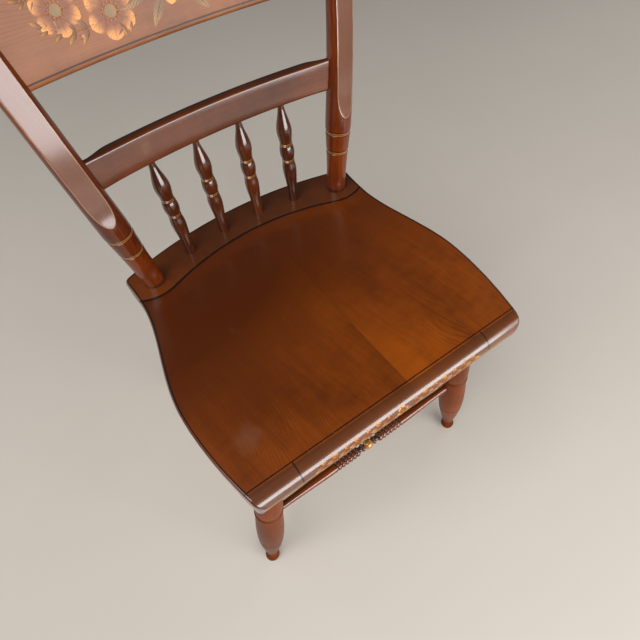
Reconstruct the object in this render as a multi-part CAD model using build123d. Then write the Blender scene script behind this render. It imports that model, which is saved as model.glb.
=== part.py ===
from build123d import *
import os
from math import cos, degrees, pi, radians, sin, sqrt

os.makedirs("parts", exist_ok=True)

# A plank-seat side chair, in millimetres. +Z is up, the front faces -Y, and the
# finished model is moved so that its origin is the middle of its footprint on the floor.
# While it is built, y = 0 is the line where the flat of the seat turns into the front roll.

# ---- clearances ----
GLUE = 0.15              # radial glue room of every round tenon, and of the rail tenons
COPE = 0.15              # room between a rail's hollowed shoulder and its post

# ---- seat: x across, y back from the roll line, z up from the deck, tilted afterwards ----
SEAT_HEIGHT = 459.0      # floor to the top of the seat at the roll line
SEAT_TILT = 5.5          # degrees that the seat falls towards the back
PLANK = 34.0             # thickness of the seat boards
FRONT_HALF = 184.0       # half width at the front
BULGE_HALF = 204.0       # half width at the widest place
BULGE_Y = 117.0
WAIST_HALF = 178.0       # half width where the raised deck begins
WAIST_AHEAD = 32.0       # from the middle of the deck line forward to the narrowest place
REAR_HALF = 181.5
REAR_MIDDLE_Y = 368.0
REAR_EDGE_RADIUS = 541.0
FRONT_SIDE_FLARE = 0.27  # how fast the half width grows at the front, and at the back
REAR_SIDE_FLARE = 0.1
FRONT_CORNER_RADIUS = 12.0
REAR_CORNER_RADIUS = 10.0
TOP_ARRIS = 2.5          # rounding of the seat's top edge
LOWER_ARRIS = 6.0        # rounding of its lower edge, behind the front strip
BOARD_JOINTS = (-99.0, 21.0, 119.0)   # where the four seat boards are glued edge to edge

# ---- row of posts and spindles on the deck ----
SPINDLE_ROW_MARGIN = 29.0    # from the seat's back edge forward to the middle of the row
SPINDLE_ROW_SAG = 27.5       # from the line between the posts back to the middle of the row
DECK_STEP = 24.0             # from the middle of the row forward to the deck line
SPINDLE_ROW_Y = REAR_MIDDLE_Y - SPINDLE_ROW_MARGIN
DECK_LINE_Y = SPINDLE_ROW_Y - DECK_STEP
WAIST_Y = DECK_LINE_Y - WAIST_AHEAD

# ---- front roll ----
ROLL_RADIUS = 17.5       # upper half of the roll
STRIP_HEIGHT = 8.0       # strip glued under the front edge to make the roll deeper
STRIP_WIDTH = 35.0
UNDER_ROLL_RADIUS = PLANK + STRIP_HEIGHT - ROLL_RADIUS   # lower half of the roll
UNDER_ROLL_Y = UNDER_ROLL_RADIUS - ROLL_RADIUS           # and the middle of its arc

# ---- dished part of the seat, in front of the raised deck ----
DISH_DEPTH = 6.5
DISH_FRONT_SLOPE = 110.0     # from the roll line to full depth
DISH_REAR_SLOPE = 24.0       # from the deck line to full depth
DISH_ROUNDNESS = 1.2         # power of the cosine that shapes the dish across the seat
DECK_LINE_RADIUS = 320.0
DECK_TURN_X = 128.0          # where the deck line turns back towards the sides
DECK_TURN_RADIUS = 52.0
DISH_LIFT = 0.4              # the cutting surface stands this far over the untouched deck

# ---- back posts ----
POST_X = 147.6           # post axis on the deck
POST_Y = SPINDLE_ROW_Y - SPINDLE_ROW_SAG
POST_LEAN = 6.8          # degrees outwards
POST_RAKE_LOW = 9.0      # degrees backwards at the seat
POST_RAKE_HIGH = 15.0    # degrees backwards above the bend
POST_BEND_START = 118.0  # along the axis from the deck; the girth is full here and tapers above
POST_BEND_RADIUS = 1080.0
POST_LENGTH = 422.0      # deck to the tip, along the axis
POST_FOOT_RADIUS = 13.6
POST_FOOT_STRAIGHT = 2.0     # straight length over the deck
POST_WAIST_RADIUS = 15.3     # at the lower band
POST_SHOULDER_RADIUS = 17.0  # at the upper band
POST_BODY_RADIUS = 17.2      # round part behind the flat, where it starts to taper
POST_TIP_RADIUS = 12.5
POST_FLARE = 0.05            # how fast the turned part widens at its bands
LOWER_BAND = 62.0            # height of each band along the axis
UPPER_BAND = 90.0
BAND_WIDTH = 6.0
BAND_DEPTH = 0.6
BAND_RISE = 0.4              # the post is this much thicker above a band than below it
FLAT_START = 112.0           # tip of the planed flat, along the axis
FLAT_RUNOUT = 46.0           # length over which the plane leaves the wood
FLAT_RUNOUT_POWER = 2.6      # how late in that length it leaves
FLAT_LOW = 12.0              # flat's distance in front of the axis at its lower end
FLAT_HIGH = 6.8              # and at the tip of the post
POST_TENON_RADIUS = 9.5
POST_TENON_LENGTH = 26.0

# ---- lower back rail ----
RAIL_AT = 165.0          # its middle, along the post axis
RAIL_HEIGHT = 36.0
RAIL_THICKNESS = 18.0
RAIL_SET = 3.0           # its front face stands this far before the post axis
RAIL_SAG = 18.0          # how far its middle lies behind its ends
RAIL_ARRIS = 3.0
RAIL_STOP = 11.0         # its shoulders stop this far before the post axis, so none laps behind it

# ---- crest rail ----
CREST_FROM_TIP = 106.0   # from the tips of the posts down to its middle
CREST_AT = POST_LENGTH - CREST_FROM_TIP
CREST_HEIGHT = 114.0
CREST_THICKNESS = 15.0
CREST_SET = 7.5
CREST_SAG = 26.0
CREST_ARRIS = 3.0

# ---- tenons of both rails, and the brads through them ----
TENON_SHOULDER = 3.5     # wood taken off each face
TENON_NARROWING = 8.0    # wood taken off each edge
TENON_STOP = 3.0         # the tenon ends this far before the post axis
BRAD_RADIUS = 1.1
BRAD_INSET = 8.0         # from the post axis towards the tenon
BRAD_FRONT = 4.0         # the point stops this far before the post axis
BRAD_SINK = 0.5          # the head lies this far under the post's surface
CREST_BRAD_SPACING = 56.0

# ---- spindles ----
SPINDLE_COUNT = 4
SPINDLE_FOOT_SPACING = 56.5
SPINDLE_TOP_SPACING = 58.5
SPINDLE_FOOT_RADIUS = 6.9
SPINDLE_FOOT_STRAIGHT = 17.0     # straight length over the deck
LOWER_VASE_RADIUS = 9.6
LOWER_VASE_DROP = 91.0           # thickest place of each vase, below the rail
UPPER_VASE_RADIUS = 10.2
UPPER_VASE_DROP = 36.5
SPINDLE_WAIST_RADIUS = 8.4
SPINDLE_BEAD_RADIUS = 10.0
SPINDLE_BEAD_DROP = 66.0         # middle of the bead, below the rail
SPINDLE_BEAD_LENGTH = 17.0
SPINDLE_BEAD_STEP = 0.5          # little step at each end of the bead
SPINDLE_COLLAR = 5.2             # scribed collar at each end of the bead
SPINDLE_NECK_RADIUS = 4.0
SPINDLE_NECK_STRAIGHT = 1.0
SPINDLE_FOOT_TENON = 18.0
SPINDLE_TOP_TENON = 14.0

# ---- legs ----
FRONT_LEG_TOP_X = 149.6      # where each leg axis meets the underside of the seat
FRONT_LEG_TOP_Y = 38.8
FRONT_FOOT_X = 209.5         # and the floor
FRONT_FOOT_Y = -12.4
REAR_LEG_TOP_X = 130.0
REAR_LEG_FROM_BACK = 86.0    # from the seat's back edge forward to the top of the rear legs
REAR_LEG_TOP_Y = REAR_MIDDLE_Y - REAR_LEG_FROM_BACK
REAR_FOOT_X = 180.0
REAR_LEG_REACH = 66.0        # how far the rear feet stand behind the tops of their legs
REAR_FOOT_Y = REAR_LEG_TOP_Y + REAR_LEG_REACH
FOOT_RADIUS = 12.2
FOOT_CENTRE = 10.9           # height of the foot ball's middle along the axis
ANKLE_RADIUS = 8.7
ANKLE_AT = 29.0
ANKLE_HOLLOW = -0.25         # slope where the ankle leaves the ball
ANKLE_FLARE = 0.12           # slope where it starts to widen
BULB_EDGE_RADIUS = 20.2
BULB_EDGE_AT = 125.0
BULB_EDGE_FLARE = 0.06       # slope at the scribed edge of the bulb
BULB_RADIUS = 21.4
BULB_AT = 168.0
LEG_WAIST_RADIUS = 19.4
LEG_WAIST_AT = 244.0
LEG_WAIST_SLOPE = -0.03
LEG_BEAD = 5.0               # width of each turned bead
LEG_BEAD_RISE = 1.2
VASE_RADIUS = 20.4
VASE_RISE = 14.0             # from the waist up to the thickest place of the vase
VASE_FLARE = 0.15
LEG_TOP_RADIUS = 14.2
LEG_TOP_SLOPE = -0.04
LEG_COLLAR_DROP = 34.0       # collar below the seat
LEG_COLLAR_RISE = 1.6
LEG_TENON_RADIUS = 11.0
LEG_TENON_LENGTH = 24.0
SCRIBE = 0.8                 # depth and width of a scribed line, and the pitch of a pair
SCRIBE_WIDTH = 1.6
SCRIBE_PITCH = 2.0

# ---- stretchers ----
FRONT_STRETCHER_Z = 218.0
SIDE_STRETCHER_FRONT_Z = 150.0
SIDE_STRETCHER_REAR_Z = 165.0
REAR_STRETCHER_Z = 205.0
STRETCHER_STOP = 6.0         # the tenon ends this far before the leg axis
STRETCHER_TENON_RADIUS = 5.6
STRETCHER_TENON_LENGTH = 22.0
STRETCHER_SWELL = 0.03       # slope where a plain stretcher starts to swell
SIDE_STRETCHER_RADIUS = 9.8
REAR_STRETCHER_RADIUS = 9.2
BALL_RADIUS = 8.4            # ball at the middle of the front stretcher
BALL_HALF_LENGTH = 7.5       # from its middle to where the disc beside it starts
DISC_RADIUS = 6.9
DISC_SHOULDER = 1.6          # hollow between the ball and the disc
DISC_WIDTH = 2.8
DISC_ROUNDING = 0.8
REEL_RADIUS = 5.2
REEL_LENGTH = 4.6
REEL_HOLLOW = 0.6
REEL_SHOULDER = 1.0          # steps down to the reel and up from it
RING_COUNT = 6
RING_PITCH = 7.0
RING_GAP = 0.8
RING_RADIUS = 8.0
RING_VALLEY = 6.5
BAR_RADIUS = 7.6
BAR_SHOULDER = 1.0

CLEAR_OF_WORK = 60.0         # reach of a cutting solid past what it cuts


# ---- turning ----

def lathe(start, cuts):
    """Solid turned about +Z. start is (radius, height); each cut is a kind, the radius and
    height where it ends, and for a bead its rise, or for a sweep its two end slopes."""
    edges = []
    radius, height = start
    if radius > 0:
        edges.append(Line((0, 0, height), (radius, 0, height)))
    for kind, next_radius, next_height, *extra in cuts:
        here = Vector(radius, 0, height)
        there = Vector(next_radius, 0, next_height)
        if kind == "taper":
            edges.append(Line(here, there))
        elif kind == "bead":
            edges.append(ThreePointArc(here, (here + there) * 0.5 + Vector(extra[0], 0, 0), there))
        else:
            slopes = [(extra[0], 0, 1), (extra[1], 0, 1)]
            edges.append(Spline(here, there, tangents=slopes))
        radius, height = next_radius, next_height
    edges.append(Line((radius, 0, height), (0, 0, height)))
    edges.append(Line((0, 0, height), (0, 0, start[1])))
    return revolve(Face(Wire(edges)), Axis.Z)


def scribed(radius, height):
    """Cuts for a V-shaped scribed line that ends at the same radius."""
    return [
        ("taper", radius - SCRIBE, height + SCRIBE_WIDTH / 2),
        ("taper", radius, height + SCRIBE_WIDTH),
    ]


def scribed_pair(radius, height):
    second = height + SCRIBE_PITCH
    return [*scribed(radius, height), ("taper", radius, second), *scribed(radius, second)]


def rod(start, end, radius):
    """Round bar between two points."""
    along = Vector(end) - Vector(start)
    bar = Cylinder(radius, along.length, align=(Align.CENTER, Align.CENTER, Align.MIN))
    return Plane(origin=start, z_dir=along).location * bar


def set_between(solid, start, end):
    """Move a turned solid so that its axis runs from start towards end."""
    return Plane(origin=start, x_dir=(0, 1, 0), z_dir=Vector(end) - Vector(start)).location * solid


def mirrored(solid):
    return mirror(solid, about=Plane.YZ)


def solids_of(shapes):
    return [solid for shape in shapes for solid in shape.solids()]


# ---- seat ----

def seat_frame():
    return Pos(0, 0, SEAT_HEIGHT) * Rot(X=-SEAT_TILT)


def seat_point(x, y, z=0.0):
    """A point given in the seat's own frame, in the model's frame."""
    tilt = radians(SEAT_TILT)
    return Vector(x, y * cos(tilt) + z * sin(tilt), SEAT_HEIGHT - y * sin(tilt) + z * cos(tilt))


def underside_point(x, y):
    return seat_point(x, y, -PLANK)


def rear_corner_y():
    drop = REAR_EDGE_RADIUS - sqrt(REAR_EDGE_RADIUS ** 2 - REAR_HALF ** 2)
    return REAR_MIDDLE_Y - drop


def seat_outline():
    """Plan of the seat: straight front, swelling sides, pinched waist and bowed back."""
    side_points = [
        (FRONT_HALF, -ROLL_RADIUS),
        (BULGE_HALF, BULGE_Y),
        (WAIST_HALF, WAIST_Y),
        (REAR_HALF, rear_corner_y()),
    ]
    side = Spline(
        side_points, tangents=[(FRONT_SIDE_FLARE, 1), (0, 1), (0, 1), (REAR_SIDE_FLARE, 1)])
    front = Line((-FRONT_HALF, -ROLL_RADIUS), (FRONT_HALF, -ROLL_RADIUS))
    rear_middle = (0, REAR_MIDDLE_Y)
    rear = ThreePointArc((REAR_HALF, rear_corner_y()), rear_middle, (-REAR_HALF, rear_corner_y()))
    plan = Sketch() + make_face([front, side, rear, mirror(side, about=Plane.YZ)])
    front_corners = plan.vertices().sort_by(Axis.Y)[:2]
    plan = fillet(front_corners, FRONT_CORNER_RADIUS)
    rear_corners = plan.vertices().filter_by_position(Axis.Y, rear_corner_y() - 1, rear_corner_y() + 1)
    return fillet(rear_corners, REAR_CORNER_RADIUS)


def under_roll_point(z):
    """Point on the lower half of the roll, at a height z from the top of the seat."""
    rise = z + ROLL_RADIUS
    return (0, UNDER_ROLL_Y - sqrt(max(UNDER_ROLL_RADIUS ** 2 - rise ** 2, 0.0)), z)


def roll_section():
    """Side view of the plank: flat top, rounded front, square back."""
    back = REAR_MIDDLE_Y + CLEAR_OF_WORK
    lower_end = under_roll_point(-PLANK)
    return make_face([
        Line((0, back, 0), (0, 0, 0)),
        ThreePointArc(
            (0, 0, 0),
            (0, -ROLL_RADIUS * sin(pi / 4), -ROLL_RADIUS * (1 - cos(pi / 4))),
            (0, -ROLL_RADIUS, -ROLL_RADIUS),
        ),
        ThreePointArc(
            (0, -ROLL_RADIUS, -ROLL_RADIUS), under_roll_point(-(ROLL_RADIUS + PLANK) / 2), lower_end),
        Line(lower_end, (0, back, -PLANK)),
        Line((0, back, -PLANK), (0, back, 0)),
    ])


def smooth_step(t):
    t = min(max(t, 0.0), 1.0)
    return t * t * (3 - 2 * t)


def deck_line_y(x):
    """Front edge of the raised deck: a broad arc that turns back at both sides."""
    reach = abs(x)
    if reach <= DECK_TURN_X:
        return DECK_LINE_Y - reach ** 2 / (2 * DECK_LINE_RADIUS)
    past = reach - DECK_TURN_X
    turn = DECK_LINE_Y - DECK_TURN_X ** 2 / (2 * DECK_LINE_RADIUS)
    return turn - past * DECK_TURN_X / DECK_LINE_RADIUS + past ** 2 / (2 * DECK_TURN_RADIUS)


def dish_depth(x, y):
    across = max(cos(pi / 2 * min(abs(x) / BULGE_HALF, 1.0)), 0.0) ** DISH_ROUNDNESS
    return DISH_DEPTH * across * smooth_step(y / DISH_FRONT_SLOPE) * smooth_step(
        (deck_line_y(x) - y) / DISH_REAR_SLOPE)


def dish_cutter():
    """Solid above the dished surface. Its rows crowd together at the step up to the deck."""
    half_columns = 10
    columns = [BULGE_HALF * step / half_columns for step in range(-half_columns, half_columns + 1)]
    front_rows = [0.12, 0.24, 0.36, 0.48, 0.60, 0.72, 0.83]    # shares of the way to the deck line
    rear_rows = [2.0, 1.5, 1.0, 0.75, 0.5, 0.25, 0.0, -0.5, -1.0]    # in rear slopes before it
    grid = []
    for x in columns:
        line_y = deck_line_y(x)
        ys = [0.0] + [share * line_y for share in front_rows]
        ys += [line_y - share * DISH_REAR_SLOPE for share in rear_rows]
        grid.append([Vector(x, y, DISH_LIFT - dish_depth(x, y)) for y in ys])
    surface = Face.make_surface_from_array_of_points(grid, tol=0.02)
    return Solid.extrude(surface, Vector(0, 0, CLEAR_OF_WORK))


def whole_plank():
    """The glued-up seat before its sockets are bored, in the seat's own frame."""
    blank = extrude(seat_outline(), amount=-PLANK)
    upper_edges = blank.edges().filter_by_position(Axis.Z, -0.1, 0.1)
    behind_roll = upper_edges.filter_by_position(Axis.Y, 0.0, REAR_MIDDLE_Y)
    blank = fillet(behind_roll, TOP_ARRIS)
    section = extrude(roll_section(), amount=BULGE_HALF + CLEAR_OF_WORK, dir=(1, 0, 0), both=True)
    blank = blank & section
    strip_back = STRIP_WIDTH - ROLL_RADIUS
    reach = REAR_MIDDLE_Y + CLEAR_OF_WORK
    behind_strip = Pos(0, strip_back + reach / 2, 0) * Box(2 * reach, reach, 2 * reach)
    front, rear = blank - behind_strip, blank & behind_strip
    lower_edges = rear.edges().filter_by_position(Axis.Z, -PLANK - 0.1, -PLANK + 0.1)
    outer_edges = lower_edges.filter_by_position(Axis.Y, strip_back + 1.0, REAR_MIDDLE_Y)
    return front + fillet(outer_edges, LOWER_ARRIS)


def seat_sockets():
    """Every hole that is bored in the seat, in the model's frame."""
    holes = []
    for leg_top, leg_foot in leg_axes():
        up = (leg_top - leg_foot).normalized()
        far = leg_top + up * (LEG_TENON_LENGTH + GLUE)
        holes.append(rod(leg_top - up * CLEAR_OF_WORK / 2, far, LEG_TENON_RADIUS + GLUE))
    for side in (1, -1):
        foot, up = post_axis_in_model(side, 0.0), post_direction(side)
        far = foot - up * (POST_TENON_LENGTH + GLUE)
        holes.append(rod(far, foot + up * CLEAR_OF_WORK / 2, POST_TENON_RADIUS + GLUE))
    for foot, top in spindle_axes():
        up = (top - foot).normalized()
        far = foot - up * (SPINDLE_FOOT_TENON + GLUE)
        holes.append(rod(far, foot + up * CLEAR_OF_WORK / 2, SPINDLE_FOOT_RADIUS + GLUE))
    return holes


def seat_boards():
    """The plank, dished, bored and cut along its glue joints: one solid per board."""
    seat = seat_frame() * (whole_plank() - dish_cutter())
    for hole in seat_sockets():
        seat = seat - hole
    edges = (-BULGE_HALF - CLEAR_OF_WORK,) + BOARD_JOINTS + (BULGE_HALF + CLEAR_OF_WORK,)
    boards = []
    for left, right in zip(edges, edges[1:]):
        width = right - left
        slab = Pos((left + right) / 2, 0, SEAT_HEIGHT) * Box(width, 4 * REAR_MIDDLE_Y, REAR_MIDDLE_Y)
        boards.append(seat & slab)
    return boards


def front_strip():
    """Strip under the front edge that carries the roll down and back."""
    back = STRIP_WIDTH - ROLL_RADIUS
    foot = -PLANK - STRIP_HEIGHT
    upper, lower = under_roll_point(-PLANK), under_roll_point(foot)
    section = make_face([
        ThreePointArc(upper, under_roll_point(-PLANK - STRIP_HEIGHT / 2), lower),
        Line(lower, (0, back, foot)),
        Line((0, back, foot), (0, back, -PLANK)),
        Line((0, back, -PLANK), upper),
    ])
    strip = extrude(section, amount=BULGE_HALF, dir=(1, 0, 0), both=True)
    plan = Pos(0, 0, foot) * extrude(seat_outline(), amount=STRIP_HEIGHT)
    return seat_frame() * (strip & plan)


# ---- back posts ----

def post_side_view(along, forward=0.0):
    """(y, z) of a point on the post in its own side view, and the rake there."""
    low, high = radians(POST_RAKE_LOW), radians(POST_RAKE_HIGH)
    bend_length = POST_BEND_RADIUS * (high - low)
    straight = min(along, POST_BEND_START)
    y, z = straight * sin(low), straight * cos(low)
    bent = min(max(along - POST_BEND_START, 0.0), bend_length)
    rake = low + bent / POST_BEND_RADIUS
    y += POST_BEND_RADIUS * (cos(low) - cos(rake))
    z += POST_BEND_RADIUS * (sin(rake) - sin(low))
    upper = max(along - POST_BEND_START - bend_length, 0.0)
    y += upper * sin(rake)
    z += upper * cos(rake)
    return y - forward * cos(rake), z + forward * sin(rake), rake


def post_radius(along):
    """Girth of the post where it isn't cut by the lathe's bands."""
    share = max(along - POST_BEND_START, 0.0) / (POST_LENGTH - POST_BEND_START)
    return POST_BODY_RADIUS + (POST_TIP_RADIUS - POST_BODY_RADIUS) * share


def post_frame(side):
    return Location(seat_point(side * POST_X, POST_Y)) * Rot(Y=side * POST_LEAN)


def post_axis_in_model(side, along):
    y, z, rake = post_side_view(along)
    lean = radians(side * POST_LEAN)
    return seat_point(side * POST_X, POST_Y) + Vector(z * sin(lean), y, z * cos(lean))


def post_direction(side):
    return (post_axis_in_model(side, 1.0) - post_axis_in_model(side, 0.0)).normalized()


def post_plane(along):
    """Plane square to the post's axis, in the post's own frame."""
    y, z, rake = post_side_view(along)
    return Plane(origin=(0, y, z), x_dir=(1, 0, 0), z_dir=(0, sin(rake), cos(rake)))


def bent_bar(grow=0.0):
    """Bent upper part of the post as a round bar, from where its full girth starts."""
    stations = 9
    length = POST_LENGTH - POST_TIP_RADIUS - POST_BEND_START
    sections = []
    for step in range(stations):
        along = POST_BEND_START + length * step / (stations - 1)
        sections.append(post_plane(along) * Circle(post_radius(along) + grow))
    return loft(sections)


def upper_post():
    """The bent bar with its domed tip."""
    dome_at = POST_LENGTH - POST_TIP_RADIUS
    dome = Sphere(post_radius(dome_at), arc_size1=0, align=(Align.CENTER, Align.CENTER, Align.NONE))
    return bent_bar() + post_plane(dome_at) * dome


def band(radius, at):
    """Cuts for a sunk band with a dark groove at its top, from its lower edge up. radius is
    the post's at the middle of the band."""
    below, above = radius - BAND_RISE / 2, radius + BAND_RISE / 2
    return [
        ("taper", below - BAND_DEPTH, at - BAND_WIDTH / 2 + BAND_DEPTH),
        ("taper", above - BAND_DEPTH, at + BAND_WIDTH / 2 - 2 * BAND_DEPTH),
        ("taper", above - 2 * BAND_DEPTH, at + BAND_WIDTH / 2 - BAND_DEPTH),
        ("taper", above, at + BAND_WIDTH / 2),
    ]


def lower_post():
    """Turned lower part, up to where the full girth starts, with its two sunk bands."""
    cuts = [("taper", POST_FOOT_RADIUS, POST_FOOT_STRAIGHT)]
    slope = 0.0
    for radius, at in ((POST_WAIST_RADIUS, LOWER_BAND), (POST_SHOULDER_RADIUS, UPPER_BAND)):
        cuts.append(("sweep", radius - BAND_RISE / 2, at - BAND_WIDTH / 2, slope, POST_FLARE))
        cuts += band(radius, at)
        slope = POST_FLARE
    cuts.append(("sweep", POST_BODY_RADIUS, POST_BEND_START, slope, 0.0))
    return Rot(X=-POST_RAKE_LOW) * lathe((POST_FOOT_RADIUS, -POST_FOOT_RADIUS), cuts)


def flat_cutter():
    """Everything in front of the planed flat, in the post's own frame."""
    lead = 6.0
    profile = [post_side_view(FLAT_START - lead, POST_BODY_RADIUS + lead)[:2]]
    stations = 7
    for step in range(stations):
        share = step / (stations - 1)
        along = FLAT_START + FLAT_RUNOUT * share
        leave = (1 - share) ** FLAT_RUNOUT_POWER * (post_radius(along) - FLAT_LOW)
        profile.append(post_side_view(along, FLAT_LOW + leave)[:2])
    runout_end = FLAT_START + FLAT_RUNOUT
    middle = (runout_end + POST_LENGTH) / 2
    for along in (runout_end + FLAT_RUNOUT / 2, middle, POST_LENGTH + CLEAR_OF_WORK):
        share = (along - runout_end) / (POST_LENGTH - runout_end)
        profile.append(post_side_view(along, FLAT_LOW + (FLAT_HIGH - FLAT_LOW) * share)[:2])
    curve = Spline([(0, y, z) for y, z in profile])
    low_front = post_side_view(FLAT_START - lead, CLEAR_OF_WORK)[:2]
    high_front = post_side_view(POST_LENGTH + CLEAR_OF_WORK, 2 * CLEAR_OF_WORK)[:2]
    section = make_face([
        curve,
        Line((0, *profile[-1]), (0, *high_front)),
        Line((0, *high_front), (0, *low_front)),
        Line((0, *low_front), (0, *profile[0])),
    ])
    return extrude(section, amount=CLEAR_OF_WORK, dir=(1, 0, 0), both=True)


def post_blank(side, grow):
    """Round bar of the upper post in the model's frame, for coping the rails to it."""
    return post_frame(side) * bent_bar(grow)


def back_post():
    """The right post: turned foot with tenon, bent body, planed flat and rail mortises."""
    body = lower_post() + upper_post()
    body = post_frame(1) * (body - flat_cutter())
    below_deck = seat_frame() * Pos(POST_X, POST_Y, -CLEAR_OF_WORK / 2) * Box(
        CLEAR_OF_WORK, CLEAR_OF_WORK, CLEAR_OF_WORK)
    body = body - below_deck
    foot, up = post_axis_in_model(1, 0.0), post_direction(1)
    body = body + rod(foot - up * POST_TENON_LENGTH, foot + up * POST_FOOT_RADIUS, POST_TENON_RADIUS)
    body = body - rail_tenon(GLUE) - crest_tenon(GLUE)
    for brad in rail_brads(GLUE) + crest_brads(GLUE):
        if brad.center().X > 0:
            body = body - brad
    return body


# ---- rails ----

def rail_frame(along):
    """Frame at the middle of a rail: its z follows the rake of the posts there."""
    centre = post_axis_in_model(1, along)
    rake = post_side_view(along)[2]
    return Pos(0, centre.Y, centre.Z) * Rot(X=-degrees(rake))


def rail_span(along):
    return post_axis_in_model(1, along).X


def bowed_board(span, set_forward, sag, faces, reach, height):
    """Board bent in plan. faces are the distances of its front and back from the bent
    front face that passes set_forward before the posts; reach is where it ends."""
    radius = (span ** 2 + sag ** 2) / (2 * sag)
    centre_y = sag - set_forward - radius
    front, back = radius + faces[0], radius + faces[1]

    def on_arc(arc_radius, x):
        return (x, centre_y + sqrt(arc_radius ** 2 - x ** 2))

    plan = make_face([
        ThreePointArc(on_arc(front, -reach), on_arc(front, 0), on_arc(front, reach)),
        Line(on_arc(front, reach), on_arc(back, reach)),
        ThreePointArc(on_arc(back, reach), on_arc(back, 0), on_arc(back, -reach)),
        Line(on_arc(back, -reach), on_arc(front, -reach)),
    ])
    return Pos(0, 0, -height / 2) * extrude(plan, amount=height)


def rail_centre_y(x):
    """Middle of the lower rail's thickness in its own frame, at a distance x from its middle."""
    span = rail_span(RAIL_AT)
    radius = (span ** 2 + RAIL_SAG ** 2) / (2 * RAIL_SAG)
    middle = radius + RAIL_THICKNESS / 2
    return RAIL_SAG - RAIL_SET - radius + sqrt(middle ** 2 - x ** 2)


def rail_tenon(grow=0.0):
    faces = (TENON_SHOULDER - grow, RAIL_THICKNESS - TENON_SHOULDER + grow)
    span = rail_span(RAIL_AT)
    height = RAIL_HEIGHT - 2 * TENON_NARROWING + 2 * grow
    return rail_frame(RAIL_AT) * bowed_board(
        span, RAIL_SET, RAIL_SAG, faces, span - TENON_STOP + grow, height)


def crest_tenon(grow=0.0):
    faces = (TENON_SHOULDER - grow, CREST_THICKNESS - TENON_SHOULDER + grow)
    span = rail_span(CREST_AT)
    height = CREST_HEIGHT - 2 * TENON_NARROWING + 2 * grow
    return rail_frame(CREST_AT) * bowed_board(
        span, CREST_SET, CREST_SAG, faces, span - TENON_STOP + grow, height)


def long_edges(board, reach):
    """Edges that run the length of a bowed board."""
    return [edge for edge in board.edges() if edge.length > reach]


def coped_rail(along, board, tenon):
    """Board in the model's frame, hollowed to both posts, with its tenons."""
    rail = rail_frame(along) * board
    for side in (1, -1):
        rail = rail - post_blank(side, COPE)
    return rail + tenon


def lower_rail():
    span = rail_span(RAIL_AT)
    faces = (0, RAIL_THICKNESS)
    board = bowed_board(span, RAIL_SET, RAIL_SAG, faces, span - RAIL_STOP, RAIL_HEIGHT)
    board = fillet(long_edges(board, span), RAIL_ARRIS)
    rail = coped_rail(RAIL_AT, board, rail_tenon())
    for foot, top in spindle_axes():
        up = (top - foot).normalized()
        far = top + up * (SPINDLE_TOP_TENON + GLUE)
        rail = rail - rod(top - up * RAIL_HEIGHT / 2, far, SPINDLE_NECK_RADIUS + GLUE)
    for brad in rail_brads(GLUE):
        rail = rail - brad
    return rail


def crest_rail():
    span = rail_span(CREST_AT)
    board = bowed_board(span, CREST_SET, CREST_SAG, (0, CREST_THICKNESS), span, CREST_HEIGHT)
    board = fillet(long_edges(board, span), CREST_ARRIS)
    crest = coped_rail(CREST_AT, board, crest_tenon())
    for brad in crest_brads(GLUE):
        crest = crest - brad
    return crest


def brads_at(along, grow):
    """One brad in each post at a height, driven forwards from the back of the post."""
    brads = []
    depth = sqrt(post_radius(along) ** 2 - BRAD_INSET ** 2)
    head = depth - BRAD_SINK + (CLEAR_OF_WORK if grow else 0.0)
    rake = post_side_view(along)[2]
    back = Vector(0, cos(rake), -sin(rake))
    for side in (1, -1):
        axis_point = post_axis_in_model(side, along)
        line = axis_point - Vector(side * BRAD_INSET, 0, 0)
        point = line - back * (BRAD_FRONT + grow)
        brads.append(rod(point, line + back * head, BRAD_RADIUS + grow))
    return brads


def rail_brads(grow=0.0):
    return brads_at(RAIL_AT, grow)


def crest_brads(grow=0.0):
    low, high = CREST_AT - CREST_BRAD_SPACING / 2, CREST_AT + CREST_BRAD_SPACING / 2
    return brads_at(low, grow) + brads_at(high, grow)


# ---- spindles ----

def spindle_offsets(spacing):
    middle = (SPINDLE_COUNT - 1) / 2
    return [(index - middle) * spacing for index in range(SPINDLE_COUNT)]


def spindle_axes():
    """Foot on the deck and top on the rail's underside, for each spindle from the left."""
    row_radius = (POST_X ** 2 + SPINDLE_ROW_SAG ** 2) / (2 * SPINDLE_ROW_SAG)
    frame = rail_frame(RAIL_AT)
    axes = []
    feet, tops = spindle_offsets(SPINDLE_FOOT_SPACING), spindle_offsets(SPINDLE_TOP_SPACING)
    for foot_x, top_x in zip(feet, tops):
        foot_y = SPINDLE_ROW_Y - row_radius + sqrt(row_radius ** 2 - foot_x ** 2)
        top = frame * Pos(top_x, rail_centre_y(top_x), -RAIL_HEIGHT / 2)
        axes.append((seat_point(foot_x, foot_y), top.position))
    return axes


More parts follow.
